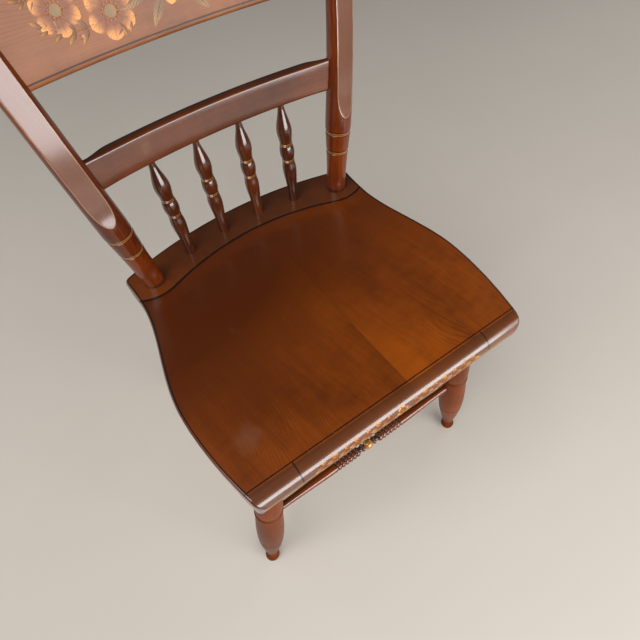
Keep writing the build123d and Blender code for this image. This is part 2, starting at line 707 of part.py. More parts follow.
def spindle(foot, top):
    """Half spindle: plain foot, lower vase, ringed bead, upper vase and slim neck. The beads
    and vases are measured down from the rail, and the lower vase takes up the length."""
    length = (top - foot).length
    waist, bead_end = SPINDLE_WAIST_RADIUS, SPINDLE_WAIST_RADIUS + SPINDLE_BEAD_STEP
    bead_low = length - SPINDLE_BEAD_DROP - SPINDLE_BEAD_LENGTH / 2
    bead_high = bead_low + SPINDLE_BEAD_LENGTH
    lines_low = bead_low - SPINDLE_COLLAR
    lines_high = bead_high + SPINDLE_COLLAR - SCRIBE_PITCH - SCRIBE_WIDTH
    cuts = [
        ("taper", SPINDLE_FOOT_RADIUS, SPINDLE_FOOT_STRAIGHT),
        ("sweep", LOWER_VASE_RADIUS, length - LOWER_VASE_DROP, 0.0, 0.0),
        ("sweep", waist, lines_low, 0.0, 0.0),
        *scribed_pair(waist, lines_low),
        ("taper", bead_end, bead_low),
        ("bead", bead_end, bead_high, SPINDLE_BEAD_RADIUS - bead_end),
        ("taper", waist, lines_high),
        *scribed_pair(waist, lines_high),
        ("sweep", UPPER_VASE_RADIUS, length - UPPER_VASE_DROP, 0.0, 0.0),
        ("sweep", SPINDLE_NECK_RADIUS, length - SPINDLE_NECK_STRAIGHT, 0.0, 0.0),
        ("taper", SPINDLE_NECK_RADIUS, length + SPINDLE_TOP_TENON),
    ]
    turned = lathe((SPINDLE_FOOT_RADIUS, -SPINDLE_FOOT_TENON), cuts)
    return set_between(turned, foot, top)


# ---- legs ----

def leg_axes():
    """Top and foot of each leg axis: front right, front left, rear right, rear left."""
    axes = []
    for top_x, top_y, foot_x, foot_y in (
        (FRONT_LEG_TOP_X, FRONT_LEG_TOP_Y, FRONT_FOOT_X, FRONT_FOOT_Y),
        (REAR_LEG_TOP_X, REAR_LEG_TOP_Y, REAR_FOOT_X, REAR_FOOT_Y),
    ):
        for side in (1, -1):
            axes.append((underside_point(side * top_x, top_y), Vector(side * foot_x, foot_y, 0)))
    return axes


def foot_and_bulb():
    """Cuts from the floor up to the edge of the bulb: ball foot, ankle and flare."""
    neck_height = FOOT_CENTRE + sqrt(FOOT_RADIUS ** 2 - ANKLE_RADIUS ** 2)
    half_height = (neck_height - FOOT_CENTRE - FOOT_RADIUS) / 2
    rise = sqrt(FOOT_RADIUS ** 2 - half_height ** 2) - ANKLE_RADIUS / 2
    return [
        ("bead", ANKLE_RADIUS, neck_height, rise),
        ("sweep", ANKLE_RADIUS, ANKLE_AT, ANKLE_HOLLOW, ANKLE_FLARE),
        ("sweep", BULB_EDGE_RADIUS, BULB_EDGE_AT, ANKLE_FLARE, BULB_EDGE_FLARE),
        *scribed(BULB_EDGE_RADIUS, BULB_EDGE_AT),
        ("sweep", BULB_RADIUS, BULB_AT, BULB_EDGE_FLARE, 0.0),
    ]


def collar_and_top(length):
    """Cuts from the swelling of the leg up to its top, which stands in the seat."""
    collar = length - LEG_COLLAR_DROP
    return [
        ("sweep", LEG_TOP_RADIUS, collar, 0.0, LEG_TOP_SLOPE),
        ("bead", LEG_TOP_RADIUS, collar + LEG_BEAD, LEG_COLLAR_RISE),
        ("taper", LEG_TOP_RADIUS, length + LEG_TOP_RADIUS),
    ]


def front_leg(top, foot):
    bead_end = LEG_WAIST_AT + SCRIBE_WIDTH + LEG_BEAD
    waist_top = bead_end + SCRIBE_WIDTH + LEG_BEAD
    waist = [
        ("sweep", LEG_WAIST_RADIUS, LEG_WAIST_AT, 0.0, LEG_WAIST_SLOPE),
        *scribed(LEG_WAIST_RADIUS, LEG_WAIST_AT),
        ("bead", LEG_WAIST_RADIUS, bead_end, LEG_BEAD_RISE),
        *scribed(LEG_WAIST_RADIUS, bead_end),
        ("taper", LEG_WAIST_RADIUS, waist_top),
        ("sweep", VASE_RADIUS, waist_top + VASE_RISE, VASE_FLARE, 0.0),
    ]
    return finished_leg(foot_and_bulb() + waist + collar_and_top((top - foot).length), top, foot)


def rear_leg(top, foot):
    return finished_leg(foot_and_bulb() + collar_and_top((top - foot).length), top, foot)


def finished_leg(cuts, top, foot):
    """Turned leg, cut level at the floor and flush under the seat, bored for its stretchers."""
    leg = set_between(lathe((0, FOOT_CENTRE - FOOT_RADIUS), cuts), foot, top)
    leg = leg - Pos(foot.X, foot.Y, -CLEAR_OF_WORK / 2) * Box(
        CLEAR_OF_WORK, CLEAR_OF_WORK, CLEAR_OF_WORK)
    seat_block = Box(4 * BULGE_HALF, 4 * REAR_MIDDLE_Y, PLANK + CLEAR_OF_WORK)
    above = seat_frame() * Pos(0, 0, CLEAR_OF_WORK / 2 - PLANK / 2) * seat_block
    leg = leg - above
    up = (top - foot).normalized()
    leg = leg + rod(top - up * LEG_TOP_RADIUS, top + up * LEG_TENON_LENGTH, LEG_TENON_RADIUS)
    for start, end in stretcher_axes().values():
        leg = leg - rod(start, end, STRETCHER_TENON_RADIUS + GLUE)
    return leg


# ---- stretchers ----

def on_leg(axis, z):
    top, foot = axis
    return foot + (top - foot) * (z / top.Z)


def between_legs(axis_a, z_a, axis_b, z_b, grow=GLUE):
    """The line of a stretcher: it stops short of both leg axes."""
    start, end = on_leg(axis_a, z_a), on_leg(axis_b, z_b)
    along = (end - start).normalized()
    return start + along * (STRETCHER_STOP - grow), end - along * (STRETCHER_STOP - grow)


def stretcher_axes(grow=GLUE):
    front_right, front_left, rear_right, rear_left = leg_axes()
    side_z = (SIDE_STRETCHER_FRONT_Z, SIDE_STRETCHER_REAR_Z)
    return {
        "front_stretcher": between_legs(
            front_left, FRONT_STRETCHER_Z, front_right, FRONT_STRETCHER_Z, grow),
        "side_stretcher_right": between_legs(front_right, side_z[0], rear_right, side_z[1], grow),
        "side_stretcher_left": between_legs(front_left, side_z[0], rear_left, side_z[1], grow),
        "rear_stretcher": between_legs(
            rear_left, REAR_STRETCHER_Z, rear_right, REAR_STRETCHER_Z, grow),
    }


def front_half_cuts(half):
    """Half of the front stretcher, from the neck of its ball out to its end."""
    disc = BALL_HALF_LENGTH + DISC_SHOULDER
    reel = disc + DISC_WIDTH + REEL_SHOULDER
    rings = reel + REEL_LENGTH + REEL_SHOULDER
    cuts = [
        ("taper", DISC_RADIUS - DISC_ROUNDING, disc),
        ("bead", DISC_RADIUS - DISC_ROUNDING, disc + DISC_WIDTH, DISC_ROUNDING),
        ("taper", REEL_RADIUS, reel),
        ("bead", REEL_RADIUS, reel + REEL_LENGTH, -REEL_HOLLOW),
        ("taper", RING_VALLEY, rings),
    ]
    for index in range(RING_COUNT):
        end = rings + RING_PITCH * (index + 1)
        cuts.append(("bead", RING_VALLEY, end - RING_GAP, RING_RADIUS - RING_VALLEY))
        cuts.append(("taper", RING_VALLEY, end))
    cuts.append(("taper", BAR_RADIUS, rings + RING_PITCH * RING_COUNT + BAR_SHOULDER))
    cuts.append(("sweep", STRETCHER_TENON_RADIUS, half - STRETCHER_TENON_LENGTH, 0.0, 0.0))
    cuts.append(("taper", STRETCHER_TENON_RADIUS, half))
    return cuts


def front_stretcher(start, end):
    """Turned from end to end: bar, rings, reel, ball, reel, rings, bar."""
    half = (end - start).length / 2
    neck = sqrt(BALL_RADIUS ** 2 - BALL_HALF_LENGTH ** 2)
    cuts = front_half_cuts(half)
    ends = [(neck, BALL_HALF_LENGTH)] + [(cut[1], cut[2]) for cut in cuts[:-1]]
    inward = [
        (cut[0], radius, half - distance, *cut[3:])
        for cut, (radius, distance) in zip(reversed(cuts), reversed(ends))
    ]
    ball = ("bead", neck, half + BALL_HALF_LENGTH, BALL_RADIUS - neck)
    outward = [(cut[0], cut[1], half + cut[2], *cut[3:]) for cut in cuts]
    turned = lathe((STRETCHER_TENON_RADIUS, 0), [*inward, ball, *outward])
    return set_between(turned, start, end)


def plain_stretcher(start, end, radius):
    """Bar that swells to its middle."""
    length = (end - start).length
    far_tenon = length - STRETCHER_TENON_LENGTH
    turned = lathe((STRETCHER_TENON_RADIUS, 0), [
        ("taper", STRETCHER_TENON_RADIUS, STRETCHER_TENON_LENGTH),
        ("sweep", radius, length / 2, STRETCHER_SWELL, 0.0),
        ("sweep", STRETCHER_TENON_RADIUS, far_tenon, 0.0, -STRETCHER_SWELL),
        ("taper", STRETCHER_TENON_RADIUS, length),
    ])
    return set_between(turned, start, end)


# ---- the chair ----

def build_chair():
    """Every node of the chair, by name."""
    nodes = {}
    for index, board in enumerate(seat_boards(), start=1):
        nodes[f"seat_board_{index}"] = board
    nodes["front_roll_strip"] = front_strip()
    post = back_post()
    nodes["back_post_right"] = post
    nodes["back_post_left"] = mirrored(post)
    nodes["lower_rail"] = lower_rail()
    nodes["crest_rail"] = crest_rail()
    nodes["lower_rail_brads"] = Compound(solids_of(rail_brads()))
    nodes["crest_rail_brads"] = Compound(solids_of(crest_brads()))
    for index, (foot, top) in enumerate(spindle_axes(), start=1):
        nodes[f"spindle_{index}"] = spindle(foot, top)
    front_axis, _, rear_axis, _ = leg_axes()
    leg_front, leg_rear = front_leg(*front_axis), rear_leg(*rear_axis)
    nodes["front_leg_right"] = leg_front
    nodes["front_leg_left"] = mirrored(leg_front)
    nodes["rear_leg_right"] = leg_rear
    nodes["rear_leg_left"] = mirrored(leg_rear)
    lines = stretcher_axes(grow=0.0)
    nodes["front_stretcher"] = front_stretcher(*lines["front_stretcher"])
    for name in ("side_stretcher_right", "side_stretcher_left"):
        nodes[name] = plain_stretcher(*lines[name], SIDE_STRETCHER_RADIUS)
    nodes["rear_stretcher"] = plain_stretcher(*lines["rear_stretcher"], REAR_STRETCHER_RADIUS)
    return nodes


def write_parts(nodes):
    """Centre the chair over its footprint and write one file per node."""
    box = Compound(solids_of(nodes.values())).bounding_box()
    middle = box.center()
    to_origin = Pos(-middle.X, -middle.Y, -box.min.Z)
    for name, solid in nodes.items():
        export_step(to_origin * solid, f"parts/{name}.step")


chair = build_chair()
write_parts(chair)
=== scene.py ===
"""Dresses the solids of a painted plank-seat side chair with stained wood, paint and gold."""
from bisect import bisect_left
from math import acos, asin, atan2, ceil, cos, hypot, pi, radians, sin, sqrt, tau

import bpy
import bmesh
from bpy.props import FloatProperty, FloatVectorProperty, PointerProperty
from mathutils import Matrix, Vector


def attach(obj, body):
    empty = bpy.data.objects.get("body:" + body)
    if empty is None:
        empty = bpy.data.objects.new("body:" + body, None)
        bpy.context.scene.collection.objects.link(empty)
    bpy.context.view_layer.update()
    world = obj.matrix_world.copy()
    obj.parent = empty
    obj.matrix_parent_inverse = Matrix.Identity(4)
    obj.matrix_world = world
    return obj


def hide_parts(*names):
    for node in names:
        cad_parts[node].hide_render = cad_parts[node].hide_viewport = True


bl_info = {
    "name": "Painted plank-seat side chair",
    "version": (1, 0, 0),
    "blender": (4, 5, 0),
    "location": "3D Viewport > Sidebar > Chair",
    "description": "Makes the wood, paint and gilding of a plank-seat side chair",
    "category": "Object",
}

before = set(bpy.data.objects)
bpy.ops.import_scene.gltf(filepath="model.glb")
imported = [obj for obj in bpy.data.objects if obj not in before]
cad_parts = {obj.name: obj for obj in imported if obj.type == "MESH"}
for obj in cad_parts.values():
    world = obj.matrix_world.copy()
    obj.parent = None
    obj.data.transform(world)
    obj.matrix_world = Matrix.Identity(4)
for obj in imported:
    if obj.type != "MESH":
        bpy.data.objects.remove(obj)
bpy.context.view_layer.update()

MM = 0.001
BACK_SHIFT = 198.528     # mm from the roll line back to the middle of the footprint

# ---- the chair's own sizes in mm, y = 0 at the roll line, as its solids have them ----
SEAT_HEIGHT, SEAT_TILT, PLANK = 459.0, radians(5.5), 34.0
FRONT_HALF, BULGE_HALF, WAIST_HALF, REAR_HALF = 184.0, 204.0, 178.0, 181.5
BULGE_Y, REAR_MIDDLE_Y, REAR_EDGE_RADIUS = 117.0, 368.0, 541.0
FRONT_SIDE_FLARE, REAR_SIDE_FLARE = 0.27, 0.1
FRONT_CORNER_RADIUS, REAR_CORNER_RADIUS = 12.0, 10.0
TOP_ARRIS, LOWER_ARRIS = 2.5, 6.0
SEEN_JOINT = 21.0        # the one glue joint of the seat boards that shows
SPINDLE_ROW_Y, SPINDLE_ROW_SAG = 339.0, 27.5
DECK_LINE_Y, WAIST_Y = 315.0, 283.0
ROLL_RADIUS, STRIP_WIDTH = 17.5, 35.0
UNDER_ROLL_RADIUS, UNDER_ROLL_Y = 24.5, 7.0
DISH_DEPTH, DISH_FRONT_SLOPE, DISH_REAR_SLOPE, DISH_ROUNDNESS = 6.5, 110.0, 24.0, 1.2
DECK_LINE_RADIUS, DECK_TURN_X, DECK_TURN_RADIUS, DISH_LIFT = 320.0, 128.0, 52.0, 0.4
SCOOP_EDGE = 2.6         # the scoop's edge lies this far before the deck line
FRONT_LINE_Y = 2.8       # the black line across the seat's front
TICK_X = 131.5           # the two black lines that run down over the roll
GILT_DROP = 17.6         # the gilt line along the roll lies this far below the seat's top
GRAIN_LEAN = radians(9.0)                # between the boards' grain and the middle line
WORN_PLACE = (-0.155, -0.148, 0.454)     # middle of the rubbed spot on the seat, in metres

POST_X, POST_Y, POST_LEAN = 147.6, 311.5, radians(6.8)
POST_RAKE_LOW, POST_RAKE_HIGH = radians(9.0), radians(15.0)
POST_BEND_START, POST_BEND_RADIUS, POST_LENGTH = 118.0, 1080.0, 422.0
POST_FOOT_RADIUS, POST_WAIST_RADIUS, POST_SHOULDER_RADIUS = 13.6, 15.3, 17.0
POST_BODY_RADIUS, POST_TIP_RADIUS, POST_FLARE = 17.2, 12.5, 0.05
LOWER_BAND, UPPER_BAND, BAND_WIDTH, BAND_DEPTH, BAND_RISE = 62.0, 90.0, 6.0, 0.6, 0.4
FLAT_START, FLAT_RUNOUT, FLAT_RUNOUT_POWER, FLAT_LOW, FLAT_HIGH = 112.0, 46.0, 2.6, 12.0, 6.8

RAIL_AT, RAIL_HEIGHT, RAIL_THICKNESS, RAIL_SET, RAIL_SAG = 165.0, 36.0, 18.0, 3.0, 18.0
CREST_AT, CREST_HEIGHT, CREST_THICKNESS, CREST_SET, CREST_SAG = 316.0, 114.0, 15.0, 7.5, 26.0

SPINDLE_FEET, SPINDLE_TOPS = 56.5, 58.5
SPINDLE_BEAD_DROP, SPINDLE_BEAD_LENGTH, SPINDLE_COLLAR = 66.0, 17.0, 5.2
LOWER_VASE_DROP, UPPER_VASE_DROP = 91.0, 36.5
SCRIBE, SCRIBE_WIDTH, SCRIBE_PITCH = 0.8, 1.6, 2.0

FOOT_RADIUS, FOOT_CENTRE, ANKLE_RADIUS, ANKLE_TOP = 12.2, 10.9, 8.7, 29.0
LEG_RING, LEG_BULB, LEG_WAIST, LEG_SHOULDER, LEG_TENON = 20.2, 21.4, 19.4, 20.4, 14.2
RING_AT, BULB_AT, WAIST_AT, COLLAR_DROP, BEAD_WIDTH = 125.0, 168.0, 244.0, 34.0, 5.0
LEG_AXES = {             # x and y of a leg's axis at the seat's underside and at the floor
    "front": ((149.6, 38.8), (209.5, -12.4)),
    "rear": ((130.0, 282.0), (180.0, 348.0)),
}
FRONT_STRETCHER_AT, REAR_STRETCHER_AT = 218.0, 205.0
SIDE_STRETCHER_FRONT, SIDE_STRETCHER_REAR = 150.0, 165.0
SIDE_STRETCHER_RADIUS, REAR_STRETCHER_RADIUS = 9.8, 9.2
STRETCHER_END, STRETCHER_TENON = 5.6, 22.0
BALL_RADIUS, BALL_HALF, HOLLOW, DISC, REEL, FILLET = 8.4, 7.5, 1.6, 2.8, 4.6, 1.0
RINGS, RING_RADIUS, RING_PITCH, RING_GAP = 6, 6.5, 7.0, 0.8


# ---- node trees ----

class Wire:
    """One socket of a node tree, which can be used in sums."""

    def __init__(self, bench, socket):
        self.bench = bench
        self.socket = socket

    def math(self, operation, *others):
        return self.bench.math(operation, self, *others)

    def __add__(self, other):
        return self.math("ADD", other)

    __radd__ = __add__

    def __sub__(self, other):
        return self.math("SUBTRACT", other)

    def __rsub__(self, other):
        return self.bench.math("SUBTRACT", other, self)

    def __mul__(self, other):
        return self.math("MULTIPLY", other)

    __rmul__ = __mul__

    def __truediv__(self, other):
        return self.math("DIVIDE", other)

    def __pow__(self, other):
        return self.math("POWER", other)


class Bench:
    """A node tree under construction."""

    def __init__(self, tree):
        self.tree = tree

    def node(self, kind, settings=None, inputs=None):
        made = self.tree.nodes.new(kind)
        for name, value in (settings or {}).items():
            setattr(made, name, value)
        pairs = inputs.items() if isinstance(inputs, dict) else enumerate(inputs or ())
        for key, value in pairs:
            socket = made.inputs[key]
            if isinstance(value, Wire):
                self.tree.links.new(value.socket, socket)
            elif socket.type == "RGBA":
                socket.default_value = (*value[:3], 1.0)
            else:
                socket.default_value = value
        return made

    def add(self, kind, settings=None, inputs=None, output=0):
        return Wire(self, self.node(kind, settings, inputs).outputs[output])

    def math(self, operation, *values):
        return self.add("ShaderNodeMath", {"operation": operation}, values)

    def vector(self, operation, *values):
        return self.add("ShaderNodeVectorMath", {"operation": operation}, values)

    def join(self, x, y, z):
        return self.add("ShaderNodeCombineXYZ", None, (x, y, z))

    def split(self, vector):
        parts = self.node("ShaderNodeSeparateXYZ", None, (vector,))
        return tuple(Wire(self, output) for output in parts.outputs)

    def ramp(self, value, low, high):
        """0 at low, 1 at high, eased between them."""
        return self.add("ShaderNodeMapRange", {"interpolation_type": "SMOOTHSTEP"}, {
            "Value": value, "From Min": low, "From Max": high})

    def line(self, place, centre, width, soft):
        """1 on a line of this width, 0 off it."""
        away = (place - centre).math("ABSOLUTE")
        return self.ramp(away, width / 2 + soft, width / 2 - soft)

    def tint(self, share, colour, other):
        """colour, with this share of the other laid over it."""
        return self.add(
            "ShaderNodeMix", {"data_type": "RGBA"}, {0: share, 6: colour, 7: other}, 2)

    def noise(self, vector, scale, detail=2.0, roughness=0.5):
        return self.add("ShaderNodeTexNoise", None, {
            "Vector": vector, "Scale": scale, "Detail": detail, "Roughness": roughness}, "Fac")

    def figure(self, grain, squeeze, *noise):
        """Noise that is long where squeeze makes the grain's vector short."""
        return self.noise(self.vector("MULTIPLY", grain, squeeze), *noise)

    def attribute(self, name, output="Fac"):
        return self.add("ShaderNodeAttribute", {"attribute_name": name}, None, output)


def new_material(name):
    """A material with an empty tree, the bench to fill it on, and the place on the chair."""
    material = bpy.data.materials.new(name)
    material.use_nodes = True
    material.node_tree.nodes.clear()
    bench = Bench(material.node_tree)
    return material, bench, bench.add("ShaderNodeTexCoord", None, None, "Object")


def finish_material(bench, colour, roughness, height=None, metallic=0.0, coat=0.0, sheen=0.15,
                    blur=0.15):
    """Close a material: coat is its lacquer, sheen what the surface below it reflects, and
    blur how soft the lacquer's reflections are."""
    inputs = {
        "Base Color": colour, "Roughness": roughness, "Metallic": metallic,
        "Specular IOR Level": sheen, "Coat Weight": coat, "Coat Roughness": blur, "Coat IOR": 1.62}
    if height is not None:
        inputs["Normal"] = bench.add(
            "ShaderNodeBump", None, {"Strength": 0.6, "Distance": 0.0001, "Height": height})
    shader = bench.add("ShaderNodeBsdfPrincipled", None, inputs)
    bench.node("ShaderNodeOutputMaterial", None, {"Surface": shader})


# ---- finishes ----

def wood_figure(bench, grain, light, dark, contrast=1.0, growth=0.2):
    """Colour, roughness and height of stained maple; the grain runs along z of its vector.
    growth is how strongly its growth lines show."""
    sway = bench.figure(grain, (1.0, 1.0, 0.4), 16.0, 2.0, 0.5)
    grain = bench.vector("ADD", grain, bench.join(sway * 0.02, sway * 0.012, 0.0))
    fibre = bench.figure(grain, (1.0, 1.0, 0.05), 1000.0, 3.0, 0.6)
    streak = bench.figure(grain, (1.0, 1.0, 0.1), 130.0, 3.0, 0.55)
    mottle = bench.figure(grain, (1.0, 1.0, 0.6), 30.0, 3.0, 0.5)
    cloud = bench.figure(grain, (1.0, 1.0, 0.5), 10.0, 2.0, 0.5)
    curl = bench.figure(grain, (0.35, 0.35, 1.0), 95.0, 2.0, 0.45)
    warp = bench.figure(grain, (1.0, 1.0, 0.55), 9.0, 1.0, 0.4)
    x, y, _ = bench.split(grain)
    year = 0.0029        # metres from one growth line to the next
    rings = ((x + y * 0.7 + warp * 0.075) * (tau / year)).math("SINE")
    rings = bench.ramp(rings, 0.1, 1.0) * bench.ramp(mottle, 0.38, 0.62) * growth
    tone = (cloud - 0.5) * 1.35 + (mottle - 0.5) * 0.7 + (streak - 0.5) * 0.5 - rings
    tone = (tone + (curl - 0.5) * 0.3 + (fibre - 0.5) * 0.45) * contrast + 0.5
    colour = bench.tint(bench.ramp(tone, -0.15, 1.1), dark, light)
    roughness = 0.32 + (mottle - 0.5) * 0.12 + (fibre - 0.5) * 0.08
    height = fibre * 0.5 + streak * 0.5 - rings * 0.5
    return colour, roughness, height


def wood_wear(bench, colour, place, amount=1.0):
    """Small pale nicks and rubbed spots."""
    nick = bench.add(
        "ShaderNodeTexVoronoi", {"feature": "F1"}, {"Vector": place, "Scale": 58.0}, "Distance")
    pick = bench.noise(place, 31.0, 1.0)
    spots = bench.ramp(nick, 0.055, 0.03) * bench.ramp(pick, 0.60, 0.66)
    rub = bench.ramp(bench.noise(place, 14.0, 4.0, 0.7), 0.66, 0.78)
    colour = bench.tint(spots * 0.5 * amount, colour, (0.45, 0.30, 0.20))
    return bench.tint(rub * 0.16 * amount, colour, (0.42, 0.22, 0.13))


def seat_finish(name, sizes, colours, shade, blur):
    """Amber dish, darker deck and the black lines of the seat. shade is a share of painted shade that
    darkens all of it, for the copy on the roll.
    """
    material, bench, place = new_material(name)
    x = bench.split(place)[0]
    board = bench.math("GREATER_THAN", x, SEEN_JOINT * MM)
    grain = bench.vector("ADD", bench.attribute("grain", "Vector"), bench.join(
        board * 0.31, board * 0.17, board * 0.73))
    colour, roughness, height = wood_figure(
        bench, grain, colours.seat_light, colours.seat_dark, 0.75, 0.18)
    front = bench.attribute("front")
    scoop = bench.attribute("scoop")
    on_deck = bench.ramp(scoop, -0.001, 0.004)
    board_tone = board * bench.ramp(front, 0.03, 0.12) * bench.ramp(x, 0.15, 0.06) * 0.2
    colour = bench.tint(board_tone, colour, colours.seat_dark)
    # painted shade: the seat is darkened towards the back and towards the left, less on the deck
    painted_shade = bench.ramp(front, 0.0, 0.26) * 0.8 + bench.ramp(x, 0.14, -0.16) * 0.42
    colour = bench.tint(painted_shade * (1.0 - on_deck * 0.7), colour, colours.seat_dark)
    # painted shade: shade darkens the whole material towards the roll colour
    colour = bench.tint(shade, colour, colours.roll)
    worn = wood_wear(bench, colour, place, 0.6)
    away = bench.add("ShaderNodeVectorMath", {"operation": "DISTANCE"}, (place, WORN_PLACE), "Value")
    worn_spot = bench.ramp(away + bench.noise(place, 60.0, 3.0, 0.6) * 0.02, 0.032, 0.014)
    worn = bench.tint(worn_spot * 0.32, worn, colours.worn)
    colour = bench.tint(on_deck * (bench.ramp(x, -0.16, -0.02) * 0.3 + 0.45), worn, colours.deck)
    joint = bench.line(x, SEEN_JOINT * MM, 0.0005, 0.0004)
    colour = bench.tint(joint * 0.3, colour, colours.line)
    edge = bench.attribute("edge")
    colour = bench.tint(bench.ramp(edge, 0.0022, 0.0008) * 0.55, colour, colours.line)
    ragged = (bench.noise(place, 260.0, 3.0, 0.6) - 0.5) * 0.0007
    scoop_line = bench.line(scoop + ragged, 0.0, sizes.scoop_line, 0.0004)
    side_line = bench.line(edge + ragged, sizes.edge_line_inset, sizes.edge_line, 0.0003)
    front_line = bench.line(front + ragged, FRONT_LINE_Y * MM, sizes.edge_line, 0.0003)
    ticks = 0.0
    for centre in (-TICK_X * MM, TICK_X * MM):
        ticks = bench.line(x + ragged, centre, sizes.edge_line, 0.0003) + ticks
    ticks = ticks * bench.ramp(front, 0.0028, 0.0022)
    side_line = side_line * bench.ramp(front, -0.001, 0.0)
    lines = scoop_line.math("MAXIMUM", side_line).math("MAXIMUM", front_line)
    lines = lines.math("MAXIMUM", ticks) * bench.ramp(bench.noise(place, 150.0, 2.0), 0.24, 0.34)
    colour = bench.tint(lines * 0.93, colour, colours.line)
    drop = bench.attribute("roll_drop") + ragged
    gilt = bench.line(drop, GILT_DROP * MM, 0.0018, 0.0003) * bench.ramp(front, -0.010, -0.012)
    colour = bench.tint(gilt * 0.7, colour, colours.gold)
    coat = (0.85 - lines * 0.55) * (1.0 - worn_spot * 0.4)
    finish_material(bench, colour, roughness, height, coat=coat, blur=blur)
    return material


def turned_finish(name, colours, light, dark, gold=(), black=(), coat=0.9, sheen=0.15):
    """Stained turning with gold lines, and black lines that lie as painted shade in its grooves
    and creases, at distances along its axis, in mm; each line is its middle and width."""
    material, bench, place = new_material(name)
    colour, roughness, height = wood_figure(
        bench, bench.attribute("grain", "Vector"), light, dark)
    colour = wood_wear(bench, colour, place, 0.6)
    along = bench.attribute("along")
    ragged = (bench.noise(place, 400.0, 2.0, 0.6) - 0.5) * 0.0003
    metal = 0.0
    # the black list is painted shade in the grooves and creases
    for lines, paint, share in ((black, colours.line, 0.7), (gold, colours.gold, 0.75)):
        mask = 0.0
        for centre, width in lines:
            mask = bench.line(along + ragged, centre * MM, width * MM, 0.00015) + mask
        if lines:
            colour = bench.tint(mask * share, colour, paint)
            if lines is gold:
                metal = mask * 0.3
    finish_material(bench, colour, roughness, height, metal, coat, sheen)
    return material


def post_finish(colours, sizes):
    """Stained post: gilt bands in the turning, a painted sheen on the planed flat and a fine painted
    highlight round its edge, with painted shade in the bands' grooves and at the foot.
    """
    material, bench, place = new_material("post_stain")
    along = bench.attribute("along")
    inside = bench.attribute("flat_edge")
    turned, roughness, height = wood_figure(
        bench, bench.attribute("grain", "Vector"), colours.turned_light, colours.turned_dark)
    # painted sheen: the planed flat is tinted paler and greyer, standing in for the reflection it catches
    flat = bench.ramp(inside, 0.0, 0.0006)
    colour = bench.tint(flat * 0.6, turned, colours.flat)
    colour = wood_wear(bench, colour, place, 0.8)
    ragged = (bench.noise(place, 400.0, 2.0, 0.6) - 0.5) * 0.0003
    gold, black = 0.0, 0.0
    for band in (LOWER_BAND, UPPER_BAND):
        for offset in (-1.75, 0.35):
            gold = bench.line(along + ragged, (band + offset) * MM, 0.0009, 0.00015) + gold
        # black in each band's groove and at its lower step is painted shade; a fainter black line lies
        # between the gold lines
        black = bench.line(along + ragged, (band + 2.1) * MM, 0.0013, 0.0002) + black
        black = bench.line(along, (band - 0.7) * MM, 0.0008, 0.0002) * 0.6 + black
        black = bench.line(along, (band - 2.75) * MM, 0.0006, 0.0002) * 0.6 + black
    # painted shade: the post darkens towards its foot, where it meets the seat
    black = bench.ramp(along, 0.006, 0.0008) * 0.8 + black
    # painted highlight: a fine pale line round the flat, where its rounded edge catches the light
    outline = bench.line(inside + ragged, 0.0004, sizes.flat_painted_highlight_width, 0.0002)
    colour = bench.tint(black * 0.9, colour, colours.line)
    colour = bench.tint(outline * 0.35, colour, colours.flat_edge_painted_highlight)
    colour = bench.tint(gold * 0.75, colour, colours.gold)
    finish_material(bench, colour, roughness - flat * 0.04, height, gold * 0.3, 0.65, 0.1, 0.14)
    return material


def rail_finish(name, colours, light, dark, coat, stripe=None):
    """Stained rail, with a pinstripe at a height on its front where stripe gives one, in mm, and painted
    shade along the back of its top and along its lower edge.
    """
    material, bench, place = new_material(name)
    grain = bench.attribute("grain", "Vector")
    colour, roughness, height = wood_figure(bench, grain, light, dark)
    colour = wood_wear(bench, colour, place, 0.8)
    behind = bench.attribute("depth")
    rise = bench.attribute("rise")
    half = (RAIL_HEIGHT if stripe is None else CREST_HEIGHT) / 2 * MM
    # painted shade: the top darkens towards its rounded back, and the lower edge is darkened too
    painted_shade_back = bench.ramp(rise, half - 0.0035, half - 0.001) * bench.ramp(behind, 0.006, 0.0115)
    colour = bench.tint(painted_shade_back * 0.8, colour, colours.line)
    painted_shade_under = bench.ramp(rise, 0.0012 - half, 0.0002 - half)
    colour = bench.tint(painted_shade_under * 0.7, colour, colours.line)
    if stripe is not None:
        on_front = bench.ramp(behind, 0.0012, 0.0004)
        stripes = bench.line(rise, stripe * MM, 0.0016, 0.0003) + bench.line(
            rise, -stripe * MM, 0.0016, 0.0003)
        colour = bench.tint(stripes * on_front * 0.85, colour, colours.line)
    finish_material(bench, colour, roughness, height, 0.0, coat, 0.1, 0.18)
    return material


def paint_finish(name, colours, tip):
    """Stencilled bronze powder: bright at the tips, shaded to brown, with darker veins."""
    material, bench, place = new_material(name)
    reach, across, veined = bench.split(bench.attribute("leaf", "Vector"))
    tint = bench.attribute("tint")
    powder = bench.noise(place, 900.0, 3.0, 0.7)
    cloud = bench.noise(place, 90.0, 2.0, 0.5)
    glow = bench.ramp(reach + (cloud - 0.5) * 0.5 + (powder - 0.5) * 0.35, 0.3, 1.05)
    colour = bench.tint(glow, colours.bronze, tip)
    colour = bench.tint(tint, colour, colours.olive)
    side = across.math("ABSOLUTE")
    midrib = bench.ramp(side, 0.16, 0.06)
    ribs = ((reach - side * 0.32) * 46.0).math("SINE")
    ribs = bench.ramp(ribs, 0.45, 0.95) * bench.ramp(side, 0.08, 0.2)
    veins = midrib.math("MAXIMUM", ribs) * veined
    colour = bench.tint(veins * 0.75, colour, colours.rail_dark)
    rim = bench.ramp(side, 0.78, 0.99) * 0.5
    colour = bench.tint(rim, colour, colours.bronze)
    roughness = 0.38 + (powder - 0.5) * 0.2
    finish_material(bench, colour, roughness, powder, glow * 0.15, 0.15)
    return material


